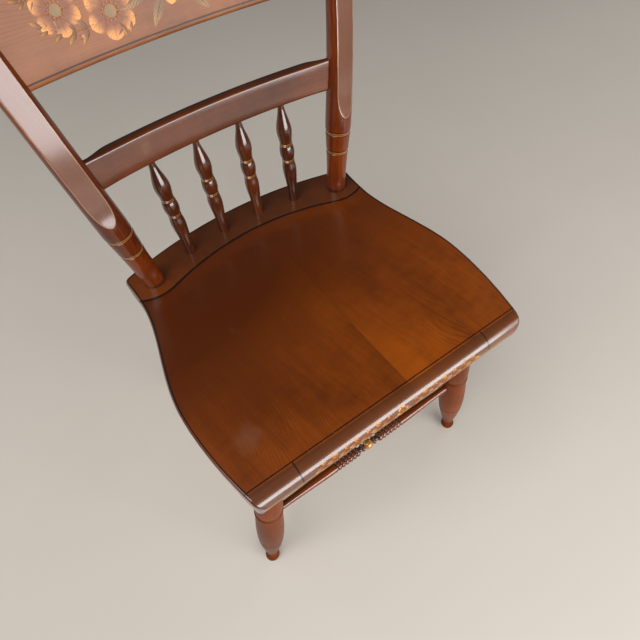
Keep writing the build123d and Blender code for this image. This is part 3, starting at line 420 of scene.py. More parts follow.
def underside_finish(colours):
    """Bare dusty wood."""
    material, bench, place = new_material("unfinished_underside")
    colour, roughness, height = wood_figure(
        bench, bench.attribute("grain", "Vector"), colours.bare_light, colours.bare_dark)
    dust = bench.ramp(bench.noise(place, 9.0, 4.0, 0.7), 0.35, 0.75)
    colour = bench.tint(dust * 0.35, colour, colours.bare_dark)
    finish_material(bench, colour, roughness + 0.3, height)
    return material


def steel_finish(colours):
    """Dull brad heads with a little rust."""
    material, bench, place = new_material("brad_steel")
    rust = bench.ramp(bench.noise(place, 700.0, 4.0, 0.7), 0.45, 0.65)
    colour = bench.tint(rust, colours.steel, (0.12, 0.045, 0.02))
    roughness = 0.42 + rust * 0.4
    finish_material(bench, colour, roughness, rust, 0.9 - rust * 0.7)
    return material


# ---- meshes ----

def model_point(x, y, z):
    """A point in mm, y from the roll line, in the model's frame in metres."""
    return Vector((x, y - BACK_SHIFT, z)) * MM


def seat_point(x, y, z=0.0):
    """A point of the tilted seat, in mm from the roll line."""
    return Vector((
        x, y * cos(SEAT_TILT) + z * sin(SEAT_TILT),
        SEAT_HEIGHT - y * sin(SEAT_TILT) + z * cos(SEAT_TILT)))


def smooth_step(t):
    t = min(max(t, 0.0), 1.0)
    return t * t * (3 - 2 * t)


def make_piece(name, points, faces, materials, layers, face_materials=None):
    """A smooth-shaded object from points in mm, with float or vector layers on its points."""
    mesh = bpy.data.meshes.new(name)
    mesh.from_pydata([model_point(*point) for point in points], [], faces)
    for layer, values in layers.items():
        is_vector = isinstance(values[0], (tuple, Vector))
        data = mesh.attributes.new(layer, "FLOAT_VECTOR" if is_vector else "FLOAT", "POINT").data
        for item, value in zip(data, values):
            if is_vector:
                item.vector = Vector(value) * MM
            else:
                item.value = value * MM
    for material in materials:
        mesh.materials.append(material)
    if face_materials is not None:
        mesh.polygons.foreach_set("material_index", face_materials)
    return finish_piece(name, mesh)


def add_object(name, data):
    made = bpy.data.objects.new(name, data)
    bpy.context.scene.collection.objects.link(made)
    return made


def finish_piece(name, mesh, crease=38.0, merge=0.000001):
    """Make a mesh an object, with faces outwards and only real creases sharp. Points nearer
    than merge become one."""
    bm = bmesh.new()
    bm.from_mesh(mesh)
    bmesh.ops.remove_doubles(bm, verts=bm.verts, dist=merge)
    bmesh.ops.recalc_face_normals(bm, faces=bm.faces)
    bm.to_mesh(mesh)
    bm.free()
    mesh.shade_smooth()
    mesh.set_sharp_from_angle(angle=radians(crease))
    mesh.update()
    return add_object(name, mesh)


def settle(piece, slot, *nodes):
    """Hang a finished piece under the root body and hide the CAD nodes it stands for."""
    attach(piece, "root")
    if nodes:
        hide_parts(*nodes)


def hermite(start, end, slope_start, slope_end, t):
    """Point of a smooth curve between two points with given end directions."""
    chord = (end - start).length
    a = slope_start.normalized() * chord
    b = slope_end.normalized() * chord
    return (
        start * (2 * t ** 3 - 3 * t ** 2 + 1) + a * (t ** 3 - 2 * t ** 2 + t)
        + end * (3 * t ** 2 - 2 * t ** 3) + b * (t ** 3 - t ** 2))


# ---- seat ----

def rear_edge_y(x):
    return REAR_MIDDLE_Y - REAR_EDGE_RADIUS + sqrt(REAR_EDGE_RADIUS ** 2 - x ** 2)


def deck_line_y(x):
    reach = abs(x)
    if reach <= DECK_TURN_X:
        return DECK_LINE_Y - reach ** 2 / (2 * DECK_LINE_RADIUS)
    past = reach - DECK_TURN_X
    turn = DECK_LINE_Y - DECK_TURN_X ** 2 / (2 * DECK_LINE_RADIUS)
    return turn - past * DECK_TURN_X / DECK_LINE_RADIUS + past ** 2 / (2 * DECK_TURN_RADIUS)


def dish_depth(x, y):
    across = max(cos(pi / 2 * min(abs(x) / BULGE_HALF, 1.0)), 0.0) ** DISH_ROUNDNESS
    return DISH_DEPTH * across * smooth_step(y / DISH_FRONT_SLOPE) * smooth_step(
        (deck_line_y(x) - y) / DISH_REAR_SLOPE)


class SeatPlan:
    """Plan of the seat: half width at each y, and its four rounded corners."""

    def __init__(self):
        knots = [
            (Vector((FRONT_HALF, -ROLL_RADIUS)), Vector((FRONT_SIDE_FLARE, 1))),
            (Vector((BULGE_HALF, BULGE_Y)), Vector((0, 1))),
            (Vector((WAIST_HALF, WAIST_Y)), Vector((0, 1))),
            (Vector((REAR_HALF, rear_edge_y(REAR_HALF))), Vector((REAR_SIDE_FLARE, 1))),
        ]
        steps = 60
        self.side = []
        for (start, out), (end, back) in zip(knots, knots[1:]):
            self.side += [hermite(start, end, out, back, step / steps) for step in range(steps)]
        self.side.append(knots[-1][0])
        beyond = 60.0    # the side runs on behind the rear edge
        self.side.append(self.side[-1] + Vector((REAR_SIDE_FLARE, 1)) * beyond)
        self.ys = [point.y for point in self.side]
        self.corners = [
            self.corner(knots[0][0], Vector((1, -FRONT_SIDE_FLARE)), Vector((0, -1)), FRONT_CORNER_RADIUS),
            self.corner(knots[-1][0], Vector((1, -REAR_SIDE_FLARE)), Vector((
                REAR_HALF, sqrt(REAR_EDGE_RADIUS ** 2 - REAR_HALF ** 2))), REAR_CORNER_RADIUS),
        ]

    def corner(self, tip, side_normal, end_normal, radius):
        a, b = side_normal.normalized(), end_normal.normalized()
        det = a.x * b.y - a.y * b.x
        middle = tip + Vector((-(b.y - a.y), -(a.x - b.x))) * radius / det
        return middle, a, b, radius

    def half_width(self, y):
        i = min(max(bisect_left(self.ys, y), 1), len(self.side) - 1)
        low, high = self.side[i - 1], self.side[i]
        share = (y - low.y) / (high.y - low.y)
        return low.x + (high.x - low.x) * share, (high.x - low.x) / (high.y - low.y)

    def place(self, x, y, end_inset):
        """Bring a point inside the rounded corners. Returns it, how far it is from the edge,
        and how much the edge there faces sideways or backwards."""
        half, slope = self.half_width(y)
        from_side = (half - abs(x)) / hypot(1, slope)
        inset = min(from_side, end_inset)
        faces = 1.0
        point = Vector((abs(x), y))
        for middle, a, b, radius in self.corners:
            spoke = point - middle
            turn = a.x * b.y - a.y * b.x
            before = (a.x * spoke.y - a.y * spoke.x) * turn
            after = (spoke.x * b.y - spoke.y * b.x) * turn
            if before > 0 and after > 0 and spoke.dot(a + b) > 0:
                reach = max(spoke.dot(a), spoke.dot(b))
                spoke = spoke * (reach / spoke.length)
                point = middle + spoke
                inset = radius - reach
                if b.y < 0:
                    faces = min(abs(spoke.x) / max(reach, 0.001), 1.0)
        return point.x * (1 if x >= 0 else -1), point.y, inset, faces


def roll_top(y):
    return -ROLL_RADIUS + sqrt(max(ROLL_RADIUS ** 2 - min(y, 0.0) ** 2, 0.0))


def seat_bottom(y):
    if y > STRIP_WIDTH - ROLL_RADIUS:
        return -PLANK
    ahead = max(UNDER_ROLL_Y - y, 0.0)
    return -ROLL_RADIUS - sqrt(max(UNDER_ROLL_RADIUS ** 2 - ahead ** 2, 0.0))


def rounding(inset, radius):
    """How far an arris of this radius drops the surface."""
    if inset >= radius:
        return 0.0
    return radius - sqrt(max(radius ** 2 - (radius - inset) ** 2, 0.0))


ROLL_ROWS, DISH_ROWS, DECK_ROWS = 14, 50, 9      # rows of the seat's mesh on each of these
DISH_START = 22.0        # y of the first row in the dish
DISH_END = 9.5           # the dish's rows end this far before the deck line
DECK_START = 4.0         # the deck's rows start this far behind the deck line
DECK_END = 9.0           # and end this far before the rear edge
SIDE_COLUMNS = 20.0      # mm from the edge in to the evenly spaced columns
FAR_OFF = 50.0           # mm: stands in for the distance from a line on the other face


def seat_rows():
    """Rows from the front edge back, each a function that gives its y at an x."""
    roll = [-ROLL_RADIUS * cos(pi / 2 * step / ROLL_ROWS) for step in range(ROLL_ROWS)]
    straight = (*roll, 0.0, 1.5, 3.0, 5.0, 7.0, 9.0, 11.5, 14.0, 17.45, 17.55)
    by_deck_line = (
        -8.0, -6.5, -5.5, -4.8, -4.2, -3.8, -3.4, -3.0, -2.4, -1.6, -0.6, 0.6, 2.0, DECK_START)
    by_rear_edge = (DECK_END, 6.0, 4.0, 2.5, 1.7, 1.1, 0.6, 0.25, 0.05, 0.0)

    def in_dish(share):
        return lambda x: DISH_START + (deck_line_y(x) - DISH_END - DISH_START) * share

    def on_deck(share):
        return lambda x: deck_line_y(x) + DECK_START + (
            rear_edge_y(x) - DECK_END - deck_line_y(x) - DECK_START) * share

    return [
        *[lambda x, y=y: y for y in straight],
        *[in_dish(step / DISH_ROWS) for step in range(DISH_ROWS)],
        *[lambda x, offset=offset: deck_line_y(x) + offset for offset in by_deck_line],
        *[on_deck(step / DECK_ROWS) for step in range(1, DECK_ROWS)],
        *[lambda x, inset=inset: rear_edge_y(x) - inset for inset in by_rear_edge],
    ]


def seat_columns():
    """Columns from left to right: an inset from the side, or a share of the middle."""
    insets = (0.0, 0.05, 0.25, 0.6, 1.1, 1.7, 2.5, 3.2, 4.0, 5.0, 6.0, 8.0, 11.0, 15.0)
    count = 84
    middle = [("share", 2 * step / count - 1) for step in range(count + 1)]
    left = [("left", inset) for inset in insets]
    return left + middle + [("right", inset) for inset in reversed(insets)]


def column_x(column, half, slope):
    """x of a column where the seat is this wide and its side slopes like this."""
    kind, value = column
    stretch = hypot(1, slope)
    if kind == "share":
        return value * (half - SIDE_COLUMNS * stretch)
    x = half - value * stretch
    return -x if kind == "left" else x


def seat_mesh(sizes, colours):
    """The whole plank with its dish, deck, front roll and glued strip."""
    plan = SeatPlan()
    rows, columns = seat_rows(), seat_columns()
    top, bottom = [], []
    layers = {name: [] for name in ("grain", "edge", "scoop", "front", "roll_drop")}
    lower_layers = {name: [] for name in layers}
    settling = 5         # rounds after which a row and a column agree on where they cross
    for row in rows:
        for column in columns:
            x = 0.0
            for _ in range(settling):
                half, slope = plan.half_width(min(row(x), REAR_MIDDLE_Y))
                x = column_x(column, half, slope)
                x = min(max(x, -half), half)
            y = row(x)
            rear_inset = (rear_edge_y(x) - y) * cos(asin(x / REAR_EDGE_RADIUS))
            x, y, inset, faces = plan.place(x, y, rear_inset)
            inset = max(inset, 0.0)
            arris = TOP_ARRIS * faces
            high = min(0.0, DISH_LIFT - dish_depth(x, y)) if y > 0 else roll_top(y)
            high -= rounding(inset, arris) if arris > 0 else 0.0
            low = seat_bottom(y)
            if y > STRIP_WIDTH - ROLL_RADIUS:
                low += rounding(inset, LOWER_ARRIS)
            slope = (deck_line_y(x + 0.5) - deck_line_y(x - 0.5))
            scoop = (y - deck_line_y(x) + SCOOP_EDGE) / hypot(1, slope)
            for z, points, kept in ((high, top, layers), (low, bottom, lower_layers)):
                points.append(seat_point(x, y, z))
                kept["grain"].append((
                    x * cos(GRAIN_LEAN) + y * sin(GRAIN_LEAN), z,
                    y * cos(GRAIN_LEAN) - x * sin(GRAIN_LEAN)))
                kept["edge"].append(inset if z == high else FAR_OFF)
                kept["scoop"].append(scoop if z == high else -FAR_OFF)
                kept["front"].append(y)
                kept["roll_drop"].append(-z)
    width, length, count = len(columns), len(rows), len(top)
    faces, materials = [], []
    for i in range(length - 1):
        for j in range(width - 1):
            a = i * width + j
            faces.append((a, a + 1, a + width + 1, a + width))
            faces.append((count + a, count + a + width, count + a + width + 1, count + a + 1))
            materials += [2 if i < ROLL_ROWS else 0, 1]
    rim = list(range(width))
    rim += [i * width + width - 1 for i in range(1, length)]
    rim += [(length - 1) * width + j for j in range(width - 2, -1, -1)]
    rim += [i * width for i in range(length - 2, 0, -1)]
    for a, b in zip(rim, rim[1:] + rim[:1]):
        faces.append((a, b, count + b, count + a))
        materials.append(2 if max(a, b) < ROLL_ROWS * width else 0)
    for name in layers:
        layers[name] += lower_layers[name]
    finishes = [
        seat_finish("seat_stain", sizes, colours, 0.0, 0.22), underside_finish(colours),
        # the roll's copy of the stain, darkened by painted shade where it turns down from the light
        seat_finish("roll_stain_painted_shade", sizes, colours, 0.8, 0.16)]
    return make_piece("plank_seat", top + bottom, faces, finishes, layers, materials)


# ---- posts ----

def post_side_view(along, forward=0.0):
    bend_length = POST_BEND_RADIUS * (POST_RAKE_HIGH - POST_RAKE_LOW)
    straight = min(along, POST_BEND_START)
    y, z = straight * sin(POST_RAKE_LOW), straight * cos(POST_RAKE_LOW)
    bent = min(max(along - POST_BEND_START, 0.0), bend_length)
    rake = POST_RAKE_LOW + bent / POST_BEND_RADIUS
    y += POST_BEND_RADIUS * (cos(POST_RAKE_LOW) - cos(rake))
    z += POST_BEND_RADIUS * (sin(rake) - sin(POST_RAKE_LOW))
    upper = max(along - POST_BEND_START - bend_length, 0.0)
    y += upper * sin(rake)
    z += upper * cos(rake)
    return y - forward * cos(rake), z + forward * sin(rake), rake


def post_point(side, across, along, forward):
    y, z, _ = post_side_view(along, forward)
    lean = side * POST_LEAN
    return seat_point(side * POST_X, POST_Y) + Vector((
        across * cos(lean) + z * sin(lean), y, z * cos(lean) - across * sin(lean)))


def post_girth(along):
    share = max(along - POST_BEND_START, 0.0) / (POST_LENGTH - POST_BEND_START)
    return POST_BODY_RADIUS + (POST_TIP_RADIUS - POST_BODY_RADIUS) * share


NO_FLAT = 60.0           # mm: further from the axis than any post is thick
OFF_FLAT = -20.0         # mm: stands in for the distance to the flat's edge on the back


def flat_distance(along):
    """How far before the axis the planed flat lies; far out where there is none."""
    if along < FLAT_START:
        return NO_FLAT
    end = FLAT_START + FLAT_RUNOUT
    if along < end:
        share = (along - FLAT_START) / FLAT_RUNOUT
        return FLAT_LOW + (1 - share) ** FLAT_RUNOUT_POWER * (post_girth(along) - FLAT_LOW)
    return FLAT_LOW + (FLAT_HIGH - FLAT_LOW) * (along - end) / (POST_LENGTH - end)


def post_band(radius, at):
    below, above = radius - BAND_RISE / 2, radius + BAND_RISE / 2
    return [
        ("taper", below - BAND_DEPTH, at - BAND_WIDTH / 2 + BAND_DEPTH),
        ("taper", above - BAND_DEPTH, at + BAND_WIDTH / 2 - 2 * BAND_DEPTH),
        ("taper", above - 2 * BAND_DEPTH, at + BAND_WIDTH / 2 - BAND_DEPTH),
        ("taper", above, at + BAND_WIDTH / 2),
    ]


def post_stations():
    """(radius, distance along the axis) of every ring of a post."""
    cuts = [("taper", POST_FOOT_RADIUS, 2.0)]
    slope = 0.0
    for radius, at in ((POST_WAIST_RADIUS, LOWER_BAND), (POST_SHOULDER_RADIUS, UPPER_BAND)):
        cuts.append(("sweep", radius - BAND_RISE / 2, at - BAND_WIDTH / 2, slope, POST_FLARE))
        cuts += post_band(radius, at)
        slope = POST_FLARE
    cuts.append(("sweep", POST_BODY_RADIUS, POST_BEND_START, slope, 0.0))
    stations = turned_profile((POST_FOOT_RADIUS, -8.0), cuts)
    dome_at = POST_LENGTH - POST_TIP_RADIUS
    along = POST_BEND_START
    while along < dome_at:
        along = min(along + (1.5 if along < FLAT_START + FLAT_RUNOUT else 7.0), dome_at)
        stations.append((post_girth(along), along))
    steps = 12
    for step in range(1, steps):
        turn = pi / 2 * step / steps
        stations.append((POST_TIP_RADIUS * cos(turn), dome_at + POST_TIP_RADIUS * sin(turn)))
    return stations


def flat_outline():
    """Points (across, along) of the edge of the flat, from its tip up one side."""
    points = []
    steps = 200
    for step in range(steps + 1):
        along = FLAT_START + (POST_LENGTH - 2.0 - FLAT_START) * (step / steps) ** 2
        girth, distance = post_girth(along), flat_distance(along)
        points.append((sqrt(max(girth ** 2 - distance ** 2, 0.0)), along))
    return points


def post_mesh(side, name, material):
    """One post: rings round the bent axis, each cut by the planed flat."""
    points, layers = [], {"grain": [], "along": [], "flat_edge": []}
    outline = flat_outline()
    near, facing = radians(5.0), radians(85.0)   # smallest half angle of the flat, and its reach
    stations = post_stations()
    offsets = (0.0, 0.25, 0.5, 0.72, 0.86, 0.94, 0.985, 1.0)
    outer = (0.02, 0.05, 0.1, 0.18, 0.3)
    back_count = 24
    for radius, along in stations:
        distance = flat_distance(along)
        corner = max(acos(min(distance / radius, 1.0)), near)
        turns = [share * corner for share in offsets] + [corner + share for share in outer]
        start = turns[-1]
        turns += [start + (pi - start) * (step + 1) / back_count for step in range(back_count - 1)]
        turns.append(pi)
        ring = [-turn for turn in reversed(turns[1:-1])] + turns
        for turn in ring:
            reach = radius
            if abs(turn) < facing:
                cut = distance / cos(turn)
                soft = 0.5 if along > FLAT_START else 0.0
                reach = (radius + cut - sqrt((radius - cut) ** 2 + soft ** 2)) / 2
            across, forward = reach * sin(turn), reach * cos(turn)
            points.append(post_point(side, across, along, forward))
            layers["grain"].append((across + side * 90, forward, along))
            layers["along"].append(along)
            inside = OFF_FLAT
            if along > FLAT_START - 6 and forward >= 0:
                inside = min(hypot(abs(across) - a, along - b) for a, b in outline)
                if along < FLAT_START or abs(across) > sqrt(max(radius ** 2 - distance ** 2, 0.0)):
                    inside = -inside
            layers["flat_edge"].append(inside)
    size = len(points) // len(stations)
    faces = ring_faces(len(stations), size)
    return make_piece(name, points, faces, [material], layers)


def ring_faces(rings, size):
    """Faces of a tube of rings with both ends closed."""
    faces = []
    for i in range(rings - 1):
        for j in range(size):
            k = (j + 1) % size
            faces.append((i * size + j, i * size + k, (i + 1) * size + k, (i + 1) * size + j))
    faces.append(tuple(range(size - 1, -1, -1)))
    faces.append(tuple(range((rings - 1) * size, rings * size)))
    return faces


# ---- rails ----

class BowedRail:
    """A rail bent in plan between the posts, at a distance along them."""

    def __init__(self, at, height, thickness, set_forward, sag):
        y, z, rake = post_side_view(at)
        axis = seat_point(POST_X, POST_Y) + Vector((z * sin(POST_LEAN), y, z * cos(POST_LEAN)))
        self.centre = axis
        self.rake = rake
        self.span = axis.x
        self.height = height
        self.thickness = thickness
        self.radius = (self.span ** 2 + sag ** 2) / (2 * sag)
        self.centre_y = sag - set_forward - self.radius

    def point(self, run, depth, rise):
        """run is the arc length from the middle, depth from the front face backwards."""
        turn = run / self.radius
        reach = self.radius + depth
        x, y = reach * sin(turn), self.centre_y + reach * cos(turn)
        return Vector((
            x, self.centre.y + y * cos(self.rake) + rise * sin(self.rake),
            self.centre.z - y * sin(self.rake) + rise * cos(self.rake)))

    def middle_point(self, x, rise):
        """A point halfway through the rail's thickness, at a distance x from its middle."""
        return self.point(self.radius * asin(x / (self.radius + self.thickness / 2)),
                          self.thickness / 2, rise)


def rounded_board(height, thickness, radii):
    """Section of a board: points (depth, rise). radii are top front, top back, lower back and
    lower front."""
    half = height / 2
    corners = (
        (0.0, half, 1, -1), (thickness, half, -1, -1), (thickness, -half, -1, 1), (0.0, -half, 1, 1))
    starts = (pi, pi / 2, 0.0, -pi / 2)
    section = []
    steps = 6
    for (depth, rise, inward, upward), start, radius in zip(corners, starts, radii):
        middle = (depth + inward * radius, rise + upward * radius)
        for step in range(steps + 1):
            turn = start - pi / 2 * step / steps
            section.append((middle[0] + radius * cos(turn), middle[1] + radius * sin(turn)))
    filled = []
    for a, b in zip(section, section[1:] + section[:1]):
        filled.append(a)
        gap = hypot(b[0] - a[0], b[1] - a[1])
        pieces = max(int(ceil(gap / 9.0)), 1)
        filled += [
            (a[0] + (b[0] - a[0]) * part / pieces, a[1] + (b[1] - a[1]) * part / pieces)
            for part in range(1, pieces)]
    return filled


def rail_mesh(rail, name, material, radii, thin_ends):
    """Sweep a board's section round the bow. thin_ends is how much the back is pared away
    towards the posts, and over what length."""
    points, layers = [], {"grain": [], "depth": [], "rise": []}
    section = rounded_board(rail.height, rail.thickness, radii)
    end = rail.radius * asin((rail.span - 3.0) / rail.radius)
    count = 72
    pared, over = thin_ends
    for step in range(count + 1):
        share = 2 * step / count - 1
        run = end * (1.35 * share - 0.35 * share ** 3)
        from_post = rail.span - 17.0 - abs(run)
        ease = 1.0 - pared * (1 - smooth_step(from_post / over)) if pared else 1.0
        for depth, rise in section:
            points.append(rail.point(run, depth * ease, rise))
            layers["grain"].append((rise + rail.height, depth, run))
            layers["depth"].append(depth)
            layers["rise"].append(rise)
    faces = ring_faces(count + 1, len(section))
    return make_piece(name, points, faces, [material], layers)


# ---- turned pieces ----

def arc_through(a, b, c, steps):
    """Points of the arc from a through b to c, without a."""
    ax, ay, bx, by, cx, cy = *a, *b, *c
    d = 2 * (ax * (by - cy) + bx * (cy - ay) + cx * (ay - by))
    ux = ((ax ** 2 + ay ** 2) * (by - cy) + (bx ** 2 + by ** 2) * (cy - ay)
          + (cx ** 2 + cy ** 2) * (ay - by)) / d
    uy = ((ax ** 2 + ay ** 2) * (cx - bx) + (bx ** 2 + by ** 2) * (ax - cx)
          + (cx ** 2 + cy ** 2) * (bx - ax)) / d
    radius = hypot(ax - ux, ay - uy)
    start, through, end = (atan2(p[1] - uy, p[0] - ux) for p in (a, b, c))
    sweep = (end - start) % tau
    if (through - start) % tau > sweep:
        sweep -= tau
    turns = [start + sweep * step / steps for step in range(1, steps + 1)]
    return [(ux + radius * cos(turn), uy + radius * sin(turn)) for turn in turns]


def turned_profile(start, cuts):
    """Outline of a turning as (radius, height) points. Each cut is a kind, the radius and
    height where it ends, and for a bead its rise, or for a sweep its two end slopes."""
    points = [start]
    for kind, radius, height, *shape in cuts:
        here, there = Vector(points[-1]), Vector((radius, height))
        if kind == "taper":
            points.append((radius, height))
        elif kind == "bead":
            crown = (here + there) / 2 + Vector((shape[0], 0))
            points += arc_through(tuple(here), tuple(crown), tuple(there), 9)
        else:
            steps = max(int((there - here).length / 2.6), 6)
            slopes = Vector((shape[0], 1)), Vector((shape[1], 1))
            points += [
                tuple(hermite(here, there, *slopes, step / steps)) for step in range(1, steps + 1)]
    return points


def scribed(radius, height):
    """Cuts of one scribed groove that starts at this height."""
    return [
        ("taper", radius - SCRIBE, height + SCRIBE_WIDTH / 2),
        ("taper", radius, height + SCRIBE_WIDTH),
    ]


def scribed_pair(radius, height):
    """Cuts of two scribed grooves, SCRIBE_PITCH apart."""
    second = height + SCRIBE_PITCH
    return [*scribed(radius, height), ("taper", radius, second), *scribed(radius, second)]


def turning_tree():
    """Nodes that turn an outline, drawn as points (radius, 0, height), about the z axis."""
    tree = bpy.data.node_groups.new("turning", "GeometryNodeTree")
    face = tree.interface
    face.new_socket("Outline", in_out="INPUT", socket_type="NodeSocketGeometry")
    face.new_socket("Facets", in_out="INPUT", socket_type="NodeSocketInt")
    face.new_socket("Grain Shift", in_out="INPUT", socket_type="NodeSocketVector")
    face.new_socket("Finish", in_out="INPUT", socket_type="NodeSocketMaterial")
    face.new_socket("Turning", in_out="OUTPUT", socket_type="NodeSocketGeometry")
    bench = Bench(tree)
    given = bench.node("NodeGroupInput")
    outline, facets, shift, finish = (Wire(bench, output) for output in given.outputs[:4])
    radius, _, height = bench.split(bench.add("GeometryNodeInputPosition"))
    curve = bench.add("GeometryNodeMeshToCurve", None, {"Mesh": outline})
    capture = bench.node("GeometryNodeCaptureAttribute")
    capture.capture_items.new("FLOAT", "Girth")
    tree.links.new(curve.socket, capture.inputs[0])
    tree.links.new(radius.socket, capture.inputs[1])
    curve, girth = (Wire(bench, output) for output in capture.outputs[:2])
    axis = bench.add("GeometryNodeSetPosition", None, {
        "Geometry": curve, "Position": bench.join(0.0, 0.0, height)})
    axis = bench.add("GeometryNodeSetCurveRadius", None, {"Curve": axis, "Radius": girth})
    ring = bench.add("GeometryNodeCurvePrimitiveCircle", None, {"Resolution": facets, "Radius": 1.0})
    turned = bench.add("GeometryNodeCurveToMesh", None, {
        "Curve": axis, "Profile Curve": ring, "Scale": girth, "Fill Caps": True})
    where = bench.add("GeometryNodeInputPosition")
    turned = bench.add("GeometryNodeStoreNamedAttribute", {"data_type": "FLOAT", "domain": "POINT"}, {
        "Geometry": turned, "Name": "along", "Value": bench.split(where)[2]})
    turned = bench.add(
        "GeometryNodeStoreNamedAttribute", {"data_type": "FLOAT_VECTOR", "domain": "POINT"}, {
            "Geometry": turned, "Name": "grain", "Value": bench.vector("ADD", where, shift)})
    turned = bench.add("GeometryNodeRealizeInstances", None, {"Geometry": turned})
    turned = bench.add("GeometryNodeSetMaterial", None, {"Geometry": turned, "Material": finish})
    bench.node("NodeGroupOutput", None, {0: turned})
    return tree


def run_tree(tree, mesh, values):
    """Put a mesh through a node tree and return the plain mesh that comes out."""
    holder = add_object("holder", mesh)
    modifier = holder.modifiers.new("nodes", "NODES")
    modifier.node_group = tree
    for item in tree.interface.items_tree:
        if item.name in values:
            modifier[item.identifier] = values[item.name]
    graph = bpy.context.evaluated_depsgraph_get()
    made = bpy.data.meshes.new_from_object(holder.evaluated_get(graph))
    holder.modifiers.remove(modifier)
    bpy.data.objects.remove(holder)
    bpy.data.meshes.remove(mesh)
    return made


def axis_matrix(start, end):
    """Stand a turning on start, with its axis towards end; both in mm."""
    up = (end - start).normalized()
    side = Vector((0, 1, 0))
    side = (side - up * side.dot(up)).normalized()
    turn = Matrix((side, up.cross(side), up)).transposed().to_4x4()
    return Matrix.Translation(model_point(*start)) @ turn


FACETS = 48              # flat faces round a turning
LEAST_RADIUS = 0.4       # mm: radius at which the end of a turning is closed


def turned_piece(tree, name, profile, start, end, finish, seed, floor=False):
    """One turned piece between two points, from its outline in mm. seed gives it wood of its
    own, and floor cuts it level at the floor."""
    outline = bpy.data.meshes.new("outline")
    points = [(max(radius, LEAST_RADIUS) * MM, 0.0, height * MM) for radius, height in profile]
    outline.from_pydata(points, [(i, i + 1) for i in range(len(points) - 1)], [])
    shift = (seed * 0.137, seed * 0.071, seed * 0.493)
    mesh = run_tree(tree, outline, {"Facets": FACETS, "Grain Shift": shift, "Finish": finish})
    mesh.name = name
    mesh.transform(axis_matrix(start, end))
    if floor:
        for vertex in mesh.vertices:
            vertex.co.z = max(vertex.co.z, 0.0)
    return finish_piece(name, mesh)


def spindle_cuts(length):
    """Cuts of a spindle from the seat up: lower vase, collar, bead, collar and upper vase."""
    foot, tip, waist, bead_end, bead_crown = 6.9, 4.0, 8.4, 8.9, 10.0
    bead_low = length - SPINDLE_BEAD_DROP - SPINDLE_BEAD_LENGTH / 2
    bead_high = bead_low + SPINDLE_BEAD_LENGTH
    low = bead_low - SPINDLE_COLLAR
    high = bead_high + SPINDLE_COLLAR - SCRIBE_PITCH - SCRIBE_WIDTH
    cuts = [
        ("taper", foot, 17.0),
        ("sweep", 9.6, length - LOWER_VASE_DROP, 0.0, 0.0),
        ("sweep", waist, low, 0.0, 0.0),
        *scribed_pair(waist, low),
        ("taper", bead_end, bead_low),
        ("bead", bead_end, bead_high, bead_crown - bead_end),
        ("taper", waist, high),
        *scribed_pair(waist, high),
        ("sweep", 10.2, length - UPPER_VASE_DROP, 0.0, 0.0),
        ("sweep", tip, length - 1.0, 0.0, 0.0),
        ("taper", tip, length + 14.0),
    ]
    gold = [
        (place + SCRIBE_WIDTH / 2 + step, 0.7) for place in (low, high) for step in (0, SCRIBE_PITCH)]
    # the black at both ends of the bead is painted shade in its creases
    return cuts, gold, [(bead_low, 0.9), (bead_high, 0.9)]


def leg_cuts(length, is_front):
    """Cuts of a leg from the floor up: ball foot, ankle, flare, bulb, waist and vase."""
    neck = FOOT_CENTRE + sqrt(FOOT_RADIUS ** 2 - ANKLE_RADIUS ** 2)
    half = (neck - FOOT_CENTRE - FOOT_RADIUS) / 2
    rise = sqrt(FOOT_RADIUS ** 2 - half ** 2) - ANKLE_RADIUS / 2
    cuts = [
        ("bead", ANKLE_RADIUS, neck, rise),
        ("sweep", ANKLE_RADIUS, ANKLE_TOP, -0.25, 0.12),
        ("sweep", LEG_RING, RING_AT, 0.12, 0.06),
        *scribed(LEG_RING, RING_AT),
        ("sweep", LEG_BULB, BULB_AT, 0.06, 0.0),
    ]
    scribes, fine = [RING_AT], []
    if is_front:
        bead_end = WAIST_AT + SCRIBE_WIDTH + BEAD_WIDTH
        top = bead_end + SCRIBE_WIDTH + BEAD_WIDTH
        cuts += [
            ("sweep", LEG_WAIST, WAIST_AT, 0.0, -0.03),
            *scribed(LEG_WAIST, WAIST_AT),
            ("bead", LEG_WAIST, bead_end, 1.2),
            *scribed(LEG_WAIST, bead_end),
            ("taper", LEG_WAIST, top),
            ("sweep", LEG_SHOULDER, top + 14.0, 0.15, 0.0),
        ]
        scribes += [WAIST_AT, bead_end]
        fine.append(top)
    collar = length - COLLAR_DROP
    cuts += [
        ("sweep", LEG_TENON, collar, 0.0, -0.04),
        ("bead", LEG_TENON, collar + BEAD_WIDTH, 1.6),
        ("taper", LEG_TENON, length + LEG_TENON),
    ]
    # black in the scribed grooves, and at the creases by the top bead and the collar, is painted shade
    black = [(place + SCRIBE_WIDTH / 2, 1.5) for place in scribes]
    return cuts, black + [(place, 1.0) for place in (*fine, collar, collar + BEAD_WIDTH)]


def leg_points(kind, side):
    """Where a leg's axis meets the seat's underside and the floor."""
    (top_x, top_y), (foot_x, foot_y) = LEG_AXES[kind]
    return seat_point(side * top_x, top_y, -PLANK), Vector((side * foot_x, foot_y, 0.0))


def on_leg(kind, side, z):
    top, foot = leg_points(kind, side)
    return foot + (top - foot) * (z / top.z)


def between(start, end, stop=6.0):
    """The ends of a stretcher between two legs' axes; it stops short of both."""
    along = (end - start).normalized()
    return start + along * stop, end - along * stop


